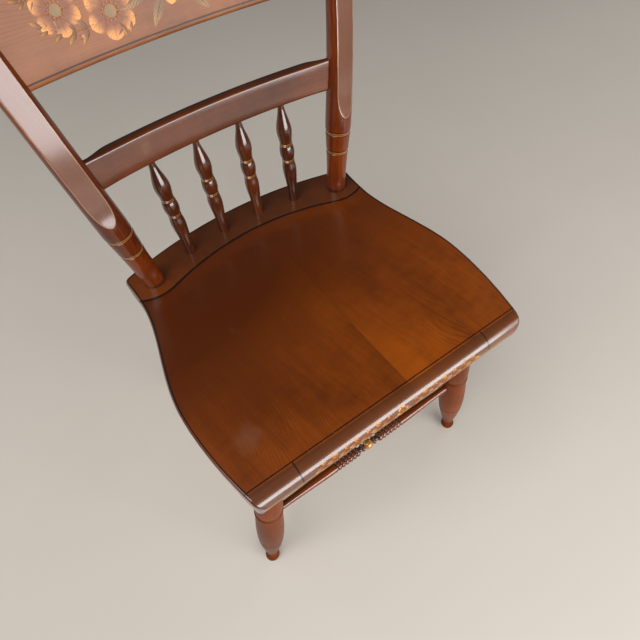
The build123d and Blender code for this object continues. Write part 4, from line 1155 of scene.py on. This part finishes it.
def front_half_cuts(half):
    """Half of the front stretcher, outwards from the neck of its ball: disc, reel, rings and
    taper. Returns its cuts, and the middles of its hollow, its reel and the rings' valleys."""
    disc = BALL_HALF + HOLLOW
    reel = disc + DISC + FILLET
    rings = reel + REEL + FILLET
    cuts = [
        ("taper", 6.1, disc), ("bead", 6.1, disc + DISC, 0.8), ("taper", 5.2, reel),
        ("bead", 5.2, reel + REEL, -0.6), ("taper", RING_RADIUS, rings)]
    for index in range(RINGS):
        end = rings + RING_PITCH * (index + 1)
        cuts += [("bead", RING_RADIUS, end - RING_GAP, 1.5), ("taper", RING_RADIUS, end)]
    cuts += [
        ("taper", 7.6, rings + RINGS * RING_PITCH + FILLET),
        ("sweep", STRETCHER_END, half - STRETCHER_TENON, 0.0, 0.0), ("taper", STRETCHER_END, half)]
    valleys = [rings] + [
        rings + RING_PITCH * index - RING_GAP / 2 for index in range(1, RINGS + 1)]
    return cuts, disc - HOLLOW / 2, reel + REEL / 2, valleys


def front_stretcher_cuts(length):
    """Cuts of the whole front stretcher, with its gold and the black laid as painted shade in its reels,
    hollows and ring valleys.
    """
    half = length / 2
    neck = sqrt(BALL_RADIUS ** 2 - BALL_HALF ** 2)
    cuts, hollow, reel, valleys = front_half_cuts(half)
    ends = [(neck, BALL_HALF)] + [(cut[1], cut[2]) for cut in cuts[:-1]]
    inward = [
        (cut[0], radius, half - distance, *cut[3:])
        for cut, (radius, distance) in zip(reversed(cuts), reversed(ends))]
    ball = ("bead", neck, half + BALL_HALF, BALL_RADIUS - neck)
    outward = [(cut[0], cut[1], half + cut[2], *cut[3:]) for cut in cuts]
    black = []
    # black in the reels, the hollows by the ball and the rings' valleys is painted shade
    for sign in (-1, 1):
        black += [(half + sign * reel, 7.4), (half + sign * hollow, HOLLOW)]
        black += [(half + sign * place, 1.4) for place in valleys]
    return [*inward, ball, *outward], black, [(half, 2 * BALL_HALF)]


# ---- painted flowers and leaves ----

def leaf_tree():
    """Nodes that lay a domed leaf or petal on every point of a flat design. Points carry turn,
    length, width, peak (where it is widest), blunt (how round its ends are) and tint."""
    tree = bpy.data.node_groups.new("painted_leaves", "GeometryNodeTree")
    face = tree.interface
    face.new_socket("Design", in_out="INPUT", socket_type="NodeSocketGeometry")
    for name, value in (("Dome", 0.00022), ("Sink", 0.0001)):
        socket = face.new_socket(name, in_out="INPUT", socket_type="NodeSocketFloat")
        socket.default_value = value
    face.new_socket("Finish", in_out="INPUT", socket_type="NodeSocketMaterial")
    face.new_socket("Leaves", in_out="OUTPUT", socket_type="NodeSocketGeometry")
    bench = Bench(tree)
    given = bench.node("NodeGroupInput")
    design, dome, sink, finish = (Wire(bench, output) for output in given.outputs[:4])

    def named(name):
        return bench.add("GeometryNodeInputNamedAttribute", {"data_type": "FLOAT"}, {"Name": name})

    grid = bench.add("GeometryNodeMeshGrid", None, {
        "Size X": 1.0, "Size Y": 2.0, "Vertices X": 15, "Vertices Y": 9})
    x, y, _ = bench.split(bench.add("GeometryNodeInputPosition"))
    reach = x + 0.5
    grid = bench.add(
        "GeometryNodeStoreNamedAttribute", {"data_type": "FLOAT_VECTOR", "domain": "POINT"},
        {"Geometry": grid, "Name": "leaf", "Value": bench.join(reach, y, 1.0)})
    sides = []
    for height, flip in ((dome, False), (sink * -1.0, True)):
        bulge = (1.0 - y * y) * (reach * (1.0 - reach) * 4.0).math("MAXIMUM", 0.0) ** 0.5
        half = bench.add("GeometryNodeSetPosition", None, {
            "Geometry": grid, "Position": bench.join(reach, y, bulge * height)})
        if flip:
            half = bench.add("GeometryNodeFlipFaces", None, {"Mesh": half})
        sides.append(half)
    shell = bench.node("GeometryNodeJoinGeometry")
    for half in sides:
        tree.links.new(half.socket, shell.inputs[0])
    placed = bench.add("GeometryNodeInstanceOnPoints", None, {
        "Points": design, "Instance": Wire(bench, shell.outputs[0]),
        "Rotation": bench.join(0.0, 0.0, named("turn")),
        "Scale": bench.join(named("length"), named("width"), 1.0)})
    placed = bench.add("GeometryNodeRealizeInstances", None, {"Geometry": placed})
    placed = bench.add("GeometryNodeSetMaterial", None, {"Geometry": placed, "Material": finish})
    bench.node("NodeGroupOutput", None, {0: placed})
    return tree


def leaf_shape(reach, peak, blunt):
    """Half width of a leaf, as a share of its widest, at a share of its length."""
    return max(sin(pi * reach ** peak), 0.0) ** blunt


class Design:
    """Leaves and petals laid out flat, in mm, before they go on the wood."""

    def __init__(self):
        self.leaves = []

    def leaf(self, x, y, turn, length, width, peak=0.8, blunt=0.9, tint=0.0, veins=1.0, lift=0.0):
        self.leaves.append((x, y, turn, length, width / 2, peak, blunt, tint, veins, lift))

    def disc(self, x, y, radius, tint=0.0, lift=0.0):
        self.leaf(x - radius, y, 0.0, 2 * radius, 2 * radius, 1.0, 0.5, tint, 0.0, lift)

    def blossom(self, x, y, radius, petals, turn, tint=0.0):
        """A round flower of overlapping petals with a ring of stamens."""
        for index in range(petals):
            angle = turn + tau * index / petals
            start = radius * 0.16
            self.leaf(
                x + start * cos(angle), y + start * sin(angle), angle, radius - start,
                radius * 4.4 / petals, 1.55, 0.62, tint, 0.35, 0.04 + 0.03 * (index % 2))
        self.disc(x, y, radius * 0.24, 0.9, 0.16)
        for index in range(petals * 2):
            angle = turn + tau * (index + 0.5) / (petals * 2)
            self.disc(x + radius * 0.31 * cos(angle), y + radius * 0.31 * sin(angle),
                      radius * 0.045, 0.0, 0.2)

    def spray(self, x, y, turn, bend, length, pairs, leaf, tint=0.3):
        """A curved stem with pairs of small leaves and one at its end."""
        angle = turn
        steps = pairs * 3
        for step in range(steps):
            stride = length / steps
            self.leaf(x, y, angle, stride * 1.25, 0.9, 1.0, 0.4, 0.5, 0.0, 0.02)
            x, y = x + stride * cos(angle), y + stride * sin(angle)
            angle += bend / steps
            if step % 3 == 1:
                size = leaf * (1.0 - 0.45 * step / steps)
                for side in (-1, 1):
                    self.leaf(x, y, angle + side * 0.85, size, size * 0.36, 0.75, 0.85, tint,
                              1.0, 0.05)
        self.leaf(x, y, angle, leaf * 0.8, leaf * 0.3, 0.8, 0.85, tint, 1.0, 0.05)


LEAF_LAYERS = ("turn", "length", "width", "peak", "blunt", "tint", "veins", "lift")


def lay_leaves(tree, name, design, finish, on_wood):
    """Run a design through the leaf nodes, shape each leaf and bend it all on to the wood."""
    base = bpy.data.meshes.new("design")
    base.from_pydata([(x * MM, y * MM, 0.0) for x, y, *_ in design.leaves], [], [])
    for column, layer in enumerate(LEAF_LAYERS, start=2):
        data = base.attributes.new(layer, "FLOAT", "POINT").data
        unit = MM if layer in ("length", "width", "lift") else 1.0
        for item, leaf in zip(data, design.leaves):
            item.value = leaf[column] * unit
    mesh = run_tree(tree, base, {"Finish": finish})
    read = {layer: [item.value for item in mesh.attributes[layer].data] for layer in LEAF_LAYERS}
    leaf_data = mesh.attributes["leaf"].data
    for index, vertex in enumerate(mesh.vertices):
        reach, across, _ = leaf_data[index].vector
        turn, width = read["turn"][index], read["width"][index]
        shape = leaf_shape(min(max(reach, 0.0), 1.0), read["peak"][index], read["blunt"][index])
        drop = across * width * (1.0 - shape)
        x = vertex.co.x + sin(turn) * drop
        y = vertex.co.y - cos(turn) * drop
        lift = vertex.co.z + read["lift"][index]
        leaf_data[index].vector = (reach, across, read["veins"][index])
        vertex.co = on_wood(x / MM, y / MM, lift / MM)
    for layer in LEAF_LAYERS:
        if layer != "tint":      # the paint still reads that one
            mesh.attributes.remove(mesh.attributes[layer])
    mesh.name = name
    return finish_piece(name, mesh, 60.0, 0.000002)


def crest_design(sizes):
    """A blossom in the middle, smaller flowers, leaves and sprays to both sides."""
    design = Design()
    big = sizes.blossom / MM
    leaf = sizes.leaf / MM
    middle = -4.0        # height of the big blossom on the crest
    design.blossom(0.0, middle, big, 9, 0.3)
    for side in (-1, 1):
        for turn, size in ((0.25, 1.25), (-0.35, 1.35), (0.85, 1.0), (-0.95, 1.0)):
            angle = turn if side > 0 else pi - turn
            design.leaf(side * big * 0.8 * cos(turn), middle + big * 0.8 * sin(turn), angle,
                        leaf * size, leaf * 0.36 * size, 0.85, 0.9, 0.75)
        design.blossom(side * 66.0, -22.0, big * 0.8, 6, 0.7 * side)
        design.blossom(side * 60.0, 26.0, big * 0.6, 5, 0.2 * side, 0.2)
        design.blossom(side * 112.0, -8.0, big * 0.72, 6, 0.5 * side)
        out = 0.0 if side > 0 else pi
        design.spray(side * 84.0, -27.0, out - side * 0.15, side * 0.8, 46.0, 4, leaf * 0.55)
        design.spray(side * 76.0, 20.0, out + side * 0.35, -side * 0.9, 44.0, 4, leaf * 0.5)
        design.spray(side * 44.0, -32.0, out - side * 0.1, -side * 0.5, 18.0, 2, leaf * 0.45)
        design.spray(side * 118.0, 4.0, out, side * 0.2, 18.0, 2, leaf * 0.42)
        for x, y, r in ((47.0, 6.0, 3.2), (88.0, 3.0, 2.6), (50.0, 38.0, 2.8), (100.0, -33.0, 2.4)):
            design.disc(side * x, y, r, 0.1, 0.05)
    return design


def roll_design(sizes):
    """Running leaves from a small flower out towards both ticks."""
    design = Design()
    leaf = sizes.leaf / MM * 0.58
    middle = 3.2         # height of the band above the roll's front-most line
    first, pitch, groups = 11.0, 14.5, 7
    design.blossom(0.0, middle, 7.8, 6, 0.2)
    for side in (-1, 1):
        out = 0.0 if side > 0 else pi
        for index in range(groups):
            x = side * (first + index * pitch)
            wave = 1 if index % 2 else -1
            rise = side * wave
            design.leaf(x, middle - 2.0 * wave, out + rise * 0.75, leaf, leaf * 0.42, 0.8, 0.85, 0.1)
            design.leaf(x + side * 3.0, middle - 1.0 * wave, out + rise * 0.12, leaf * 1.05,
                        leaf * 0.40, 0.8, 0.85, 0.0, 1.0, 0.05)
            design.leaf(x + side * 2.0, middle - 2.5 * wave, out - rise * 0.55, leaf * 0.6,
                        leaf * 0.3, 0.8, 0.85, 0.15)
            design.disc(x + side * 9.0, middle - 5.5 * wave, 1.7, 0.0, 0.05)
    return design


def roll_point(run, climb, lift):
    """A point on the front of the roll: climb is up round it from its front-most line."""
    radius, middle = (ROLL_RADIUS, 0.0) if climb > 0 else (UNDER_ROLL_RADIUS, UNDER_ROLL_Y)
    turn, reach = climb / radius, radius + lift
    return model_point(*seat_point(run, middle - reach * cos(turn), reach * sin(turn) - ROLL_RADIUS))


# ---- what a user can change ----

def colour(name, description, default):
    return FloatVectorProperty(
        name=name, description=description, default=default, subtype="COLOR", size=3, min=0, max=1)


def length(name, description, default):
    return FloatProperty(
        name=name, description=description, default=default, unit="LENGTH", precision=4, min=0)


class ChairSizes(bpy.types.PropertyGroup):
    """Sizes of the painted lines and flowers."""

    scoop_line: length("Scoop line", "Width of the black line at the scoop's edge", 0.0034)
    edge_line: length("Edge line", "Width of the black lines beside the arrises", 0.0015)
    edge_line_inset: length("Edge line inset", "From the seat's edge in to that line", 0.003)
    # width of the painted highlight round a post's flat
    flat_painted_highlight_width: length("Flat line", "Width of the pale line round a post's flat", 0.0008)
    blossom: length("Blossom", "Radius of the crest's middle flower", 0.030)
    leaf: length("Leaf", "Length of the crest's leaves", 0.028)


class ChairColours(bpy.types.PropertyGroup):
    """Stains and paints."""

    seat_light: colour("Seat, light", "Light wood of the seat", (0.50, 0.104, 0.001))
    # painted shade of the front roll
    roll: colour("Roll", "Shade of the front roll", (0.085, 0.030, 0.012))
    seat_dark: colour("Seat, dark", "Dark wood of the seat", (0.085, 0.015, 0.001))
    deck: colour("Deck", "Shade of the raised deck", (0.078, 0.024, 0.009))
    turned_light: colour("Post, light", "Light wood of the posts", (0.19, 0.031, 0.001))
    turned_dark: colour("Post, dark", "Dark wood of the posts", (0.045, 0.006, 0.001))
    leg_light: colour("Leg, light", "Light wood of the legs", (0.22, 0.042, 0.003))
    leg_dark: colour("Leg, dark", "Dark wood of the legs", (0.08, 0.015, 0.002))
    spindle_light: colour("Spindle, light", "Light wood of the spindles", (0.10, 0.020, 0.002))
    spindle_dark: colour("Spindle, dark", "Dark wood of the spindles", (0.022, 0.004, 0.001))
    rail_light: colour("Rail, light", "Light wood of the rails", (0.15, 0.032, 0.004))
    rail_dark: colour("Rail, dark", "Dark wood of the rails", (0.045, 0.010, 0.002))
    # the crest's lighter ground is partly its own colour and partly painted sheen, standing in for the
    # lacquer's reflection it lacks
    crest_light: colour("Crest, light", "Bronzed ground of the crest", (0.31, 0.105, 0.032))
    crest_dark: colour("Crest, dark", "Shade in that ground", (0.13, 0.042, 0.014))
    worn: colour("Worn spot", "Where the seat's finish is rubbed dull", (0.21, 0.105, 0.065))
    # painted sheen of the posts' planed flats
    flat: colour("Flat", "Planed face of the posts", (0.19, 0.095, 0.062))
    # black painted lines; the same black is also laid as painted shade in the turnings' grooves, on the
    # rails' rounded backs and lower edges and at the posts' feet
    line: colour("Line", "Black painted lines", (0.010, 0.007, 0.006))
    gold: colour("Gold", "Gold of the bands", (0.55, 0.25, 0.055))
    bright_gold: colour("Bright gold", "Tips of the leaves on the roll", (0.72, 0.34, 0.07))
    copper: colour("Copper", "Tips of the crest's petals", (0.66, 0.27, 0.06))
    # painted highlight along the edges of the posts' flats
    flat_edge_painted_highlight: colour("Pale gold", "Fine lines round the flats", (0.62, 0.42, 0.26))
    bronze: colour("Bronze", "Shaded parts of leaves and petals", (0.21, 0.055, 0.013))
    olive: colour("Olive", "Greener bronze of some leaves", (0.20, 0.125, 0.045))
    bare_light: colour("Bare wood, light", "Underside of the seat", (0.30, 0.18, 0.09))
    bare_dark: colour("Bare wood, dark", "Shade in the bare wood", (0.13, 0.07, 0.035))
    steel: colour("Steel", "Brads", (0.32, 0.28, 0.25))
    floor: colour("Floor", "Studio floor", (0.62, 0.565, 0.50))


class PieceOperator:
    """What all the makers share."""

    bl_options = {"REGISTER", "UNDO"}

    def execute(self, context):
        self.make(context.scene.chair_sizes, context.scene.chair_colours)
        return {"FINISHED"}


class MakeSeat(PieceOperator, bpy.types.Operator):
    """Make the plank seat with its dish, deck, roll and painted lines"""

    bl_idname = "chair.make_seat"
    bl_label = "Plank seat"

    def make(self, sizes, colours):
        seat = seat_mesh(sizes, colours)
        settle(seat, "seat_wood", *[f"seat_board_{i}" for i in (1, 2, 3, 4)], "front_roll_strip")


class MakePosts(PieceOperator, bpy.types.Operator):
    """Make both back posts with their planed flats and gilt bands"""

    bl_idname = "chair.make_posts"
    bl_label = "Back posts"

    def make(self, sizes, colours):
        finish = post_finish(colours, sizes)
        for side, word in ((1, "right"), (-1, "left")):
            settle(post_mesh(side, f"post_{word}", finish), "turned_wood", f"back_post_{word}")


def lower_bow():
    return BowedRail(RAIL_AT, RAIL_HEIGHT, RAIL_THICKNESS, RAIL_SET, RAIL_SAG)


def crest_bow():
    return BowedRail(CREST_AT, CREST_HEIGHT, CREST_THICKNESS, CREST_SET, CREST_SAG)


class MakeRails(PieceOperator, bpy.types.Operator):
    """Make the crest slat and the lower rail"""

    bl_idname = "chair.make_rails"
    bl_label = "Rails"

    def make(self, sizes, colours):
        finish = rail_finish("rail_stain", colours, colours.rail_light, colours.rail_dark, 0.85)
        lower = rail_mesh(lower_bow(), "bowed_rail", finish, (3.0, 7.0, 3.0, 3.0), (0.45, 26.0))
        settle(lower, "rail_wood", "lower_rail")
        # little lacquer on the crest: its paler ground carries painted sheen instead
        finish = rail_finish(
            "crest_stain", colours, colours.crest_light, colours.crest_dark, 0.12, 51.5)
        crest = rail_mesh(crest_bow(), "bowed_crest", finish, (3.0, 3.0, 3.0, 3.0), (0.0, 1.0))
        settle(crest, "rail_wood", "crest_rail")


class MakeSpindles(PieceOperator, bpy.types.Operator):
    """Turn the four half spindles"""

    bl_idname = "chair.make_spindles"
    bl_label = "Spindles"

    def make(self, sizes, colours):
        tree, rail = turning_tree(), lower_bow()
        row = (POST_X ** 2 + SPINDLE_ROW_SAG ** 2) / (2 * SPINDLE_ROW_SAG)
        for index in range(4):
            place = index - 1.5
            foot_x = place * SPINDLE_FEET
            foot = seat_point(foot_x, SPINDLE_ROW_Y - row + sqrt(row ** 2 - foot_x ** 2))
            top = rail.middle_point(place * SPINDLE_TOPS, -RAIL_HEIGHT / 2)
            cuts, gold, black = spindle_cuts((top - foot).length)
            finish = turned_finish(
                f"spindle_stain_{index + 1}", colours, colours.spindle_light,
                colours.spindle_dark, gold, black)
            profile = turned_profile((6.9, -18.0), cuts)
            piece = turned_piece(
                tree, f"turned_spindle_{index + 1}", profile, foot, top, finish, index + 1)
            settle(piece, "turned_wood", f"spindle_{index + 1}")


class MakeLegs(PieceOperator, bpy.types.Operator):
    """Turn the four legs"""

    bl_idname = "chair.make_legs"
    bl_label = "Legs"

    def make(self, sizes, colours):
        tree = turning_tree()
        seed = 11
        for kind in ("front", "rear"):
            top, foot = leg_points(kind, 1)
            cuts, black = leg_cuts((top - foot).length, kind == "front")
            finish = turned_finish(
                f"{kind}_leg_stain", colours, colours.leg_light, colours.leg_dark, (), black, 0.04, 0.05)
            profile = turned_profile((0.0, FOOT_CENTRE - FOOT_RADIUS), cuts)
            for side, word in ((1, "right"), (-1, "left")):
                top, foot = leg_points(kind, side)
                piece = turned_piece(
                    tree, f"turned_{kind}_leg_{word}", profile, foot, top, finish, seed, True)
                settle(piece, "turned_wood", f"{kind}_leg_{word}")
                seed += 1


class MakeStretchers(PieceOperator, bpy.types.Operator):
    """Turn the ringed front stretcher and the three plain ones"""

    bl_idname = "chair.make_stretchers"
    bl_label = "Stretchers"

    def make(self, sizes, colours):
        tree = turning_tree()
        start, end = between(*(on_leg("front", side, FRONT_STRETCHER_AT) for side in (-1, 1)))
        cuts, black, gold = front_stretcher_cuts((end - start).length)
        finish = turned_finish(
            "front_stretcher_stain", colours, colours.leg_light, colours.leg_dark, gold, black, 0.8)
        piece = turned_piece(
            tree, "ringed_stretcher", turned_profile((STRETCHER_END, 0.0), cuts), start, end,
            finish, 21)
        settle(piece, "turned_wood", "front_stretcher")
        plain = turned_finish("stretcher_stain", colours, colours.leg_light, colours.leg_dark, coat=0.3)
        lines = [
            (f"side_stretcher_{word}", on_leg("front", side, SIDE_STRETCHER_FRONT),
             on_leg("rear", side, SIDE_STRETCHER_REAR), SIDE_STRETCHER_RADIUS)
            for side, word in ((1, "right"), (-1, "left"))]
        lines.append((
            "rear_stretcher", on_leg("rear", -1, REAR_STRETCHER_AT),
            on_leg("rear", 1, REAR_STRETCHER_AT), REAR_STRETCHER_RADIUS))
        for seed, (node, a, b, radius) in enumerate(lines, start=22):
            start, end = between(a, b)
            span = (end - start).length
            profile = turned_profile((STRETCHER_END, 0.0), [
                ("taper", STRETCHER_END, STRETCHER_TENON), ("sweep", radius, span / 2, 0.03, 0.0),
                ("sweep", STRETCHER_END, span - STRETCHER_TENON, 0.0, -0.03),
                ("taper", STRETCHER_END, span)])
            piece = turned_piece(tree, f"turned_{node}", profile, start, end, plain, seed)
            settle(piece, "turned_wood", node)


class PaintFlowers(PieceOperator, bpy.types.Operator):
    """Stencil flowers on the crest and running leaves on the roll"""

    bl_idname = "chair.paint_flowers"
    bl_label = "Stencilled flowers"

    def make(self, sizes, colours):
        tree, bow = leaf_tree(), crest_bow()
        copper = paint_finish("stencil_copper", colours, colours.copper)
        bright = paint_finish("stencil_gold", colours, colours.bright_gold)

        def on_crest(run, climb, lift):
            return model_point(*bow.point(run, -lift, climb))

        flowers = lay_leaves(tree, "crest_flowers", crest_design(sizes), copper, on_crest)
        settle(flowers, None)
        leaves = lay_leaves(tree, "roll_leaves", roll_design(sizes), bright, roll_point)
        settle(leaves, None)


class FinishBrads(PieceOperator, bpy.types.Operator):
    """Give the brads their steel"""

    bl_idname = "chair.finish_brads"
    bl_label = "Brads"

    def make(self, sizes, colours):
        steel = steel_finish(colours)
        for node in ("lower_rail_brads", "crest_rail_brads"):
            brads = bpy.data.objects.get(node)
            if brads is None:
                raise RuntimeError(f"the frame has no {node}")
            brads.data.materials.clear()
            brads.data.materials.append(steel)


def soft_light(name, place, target, width, height, brightness):
    """An area light; brightness is how bright its own face looks."""
    lamp = bpy.data.lights.new(name, "AREA")
    lamp.shape = "RECTANGLE"
    lamp.size, lamp.size_y = width, height
    lamp.energy = brightness * pi * width * height
    light = add_object(name, lamp)
    light.location = place
    aim = Vector(target) - Vector(place)
    light.rotation_euler = aim.to_track_quat("-Z", "Y").to_euler()


# name, place, what it faces, width, height and brightness, in metres
LIGHTS = (
    ("front_softbox", (0.35, -2.35, 1.25), (0, 0, 0.6), 3.2, 1.7, 0.3),
    ("front_strip", (0.40, -2.25, 0.84), (0.1, 0, 0.5), 2.1, 1.0, 9.5),
    ("side_softbox", (1.67, -1.78, 1.2), (0, 0, 0.6), 0.8, 0.8, 3.0),
    ("top_softbox", (-1.3, -0.25, 2.3), (0, 0, 0.3), 1.6, 1.5, 4.8),
    ("left_softbox", (-2.3, 0.3, 1.2), (0, 0, 0.5), 1.6, 1.4, 0.6),
    ("right_softbox", (2.3, 0.2, 1.2), (0, 0, 0.5), 1.6, 1.4, 1.3),
    ("back_softbox", (-1.8, 1.9, 0.9), (0, 0, 0.5), 1.7, 1.4, 1.6),
)


CAMERA_PLACE = (-0.175333, -0.306198, 0.953828)
CAMERA_RIGHT = (0.818602, -0.574359, 0.001739)
CAMERA_UP = (0.498674, 0.712228, 0.494019)
CAMERA_LENS = 26.962


class SetStage(PieceOperator, bpy.types.Operator):
    """Set the floor, the lights and the camera"""

    bl_idname = "chair.set_stage"
    bl_label = "Studio"

    def make(self, sizes, colours):
        material, bench, place = new_material("studio_floor")
        cloud = bench.noise(place, 3.0, 4.0, 0.6)
        speckle = bench.noise(place, 700.0, 2.0, 0.6)
        shade = bench.ramp((cloud - 0.5) * 0.6 + (speckle - 0.5) * 0.6 + 0.5, 0.0, 1.0)
        pale = tuple(min(value * 1.03, 1.0) for value in colours.floor)
        deep = tuple(value * 0.95 for value in colours.floor)
        finish_material(bench, bench.tint(shade, deep, pale), 0.8, speckle)
        mesh = bpy.data.meshes.new("studio_floor")
        reach = 9.0
        mesh.from_pydata(
            [(-reach, -reach, 0), (reach, -reach, 0), (reach, reach, 0), (-reach, reach, 0)],
            [], [(0, 1, 2, 3)])
        mesh.materials.append(material)
        add_object("studio_floor", mesh)

        world = bpy.data.worlds.new("studio")
        world.use_nodes = True
        world.node_tree.nodes.clear()
        sky = Bench(world.node_tree)
        back = sky.add("ShaderNodeBackground", None, {"Color": (1.0, 0.99, 0.97), "Strength": 0.06})
        sky.node("ShaderNodeOutputWorld", None, {"Surface": back})
        scene = bpy.context.scene
        scene.world = world
        for light in LIGHTS:
            soft_light(*light)

        lens = bpy.data.cameras.new("view")
        lens.sensor_fit = "HORIZONTAL"
        lens.sensor_width = 36.0
        lens.lens = CAMERA_LENS
        lens.clip_start = 0.02
        right, up = Vector(CAMERA_RIGHT).normalized(), Vector(CAMERA_UP).normalized()
        back = right.cross(up)
        turn = Matrix((right, up, back)).transposed().to_4x4()
        camera = add_object("view", lens)
        camera.matrix_world = Matrix.Translation(CAMERA_PLACE) @ turn
        scene.camera = camera
        scene.view_settings.view_transform = "Standard"


OPERATORS = (
    MakeSeat, MakePosts, MakeRails, MakeSpindles, MakeLegs, MakeStretchers, PaintFlowers,
    FinishBrads, SetStage)


class ChairPanel(bpy.types.Panel):
    """Lists the makers and what can be changed."""

    bl_idname = "VIEW3D_PT_chair"
    bl_label = "Plank-seat chair"
    bl_space_type = "VIEW_3D"
    bl_region_type = "UI"
    bl_category = "Chair"

    def draw(self, context):
        for operator in OPERATORS:
            self.layout.operator(operator.bl_idname)
        for group in (context.scene.chair_sizes, context.scene.chair_colours):
            for name in group.__annotations__:
                self.layout.prop(group, name)


CLASSES = (ChairSizes, ChairColours, *OPERATORS, ChairPanel)


def register():
    for item in CLASSES:
        bpy.utils.register_class(item)
    bpy.types.Scene.chair_sizes = PointerProperty(type=ChairSizes)
    bpy.types.Scene.chair_colours = PointerProperty(type=ChairColours)


def unregister():
    del bpy.types.Scene.chair_colours
    del bpy.types.Scene.chair_sizes
    for item in reversed(CLASSES):
        bpy.utils.unregister_class(item)


def main():
    register()
    for operator in OPERATORS:
        getattr(bpy.ops.chair, operator.bl_idname.split(".")[1])()


if __name__ == "__main__":
    main()
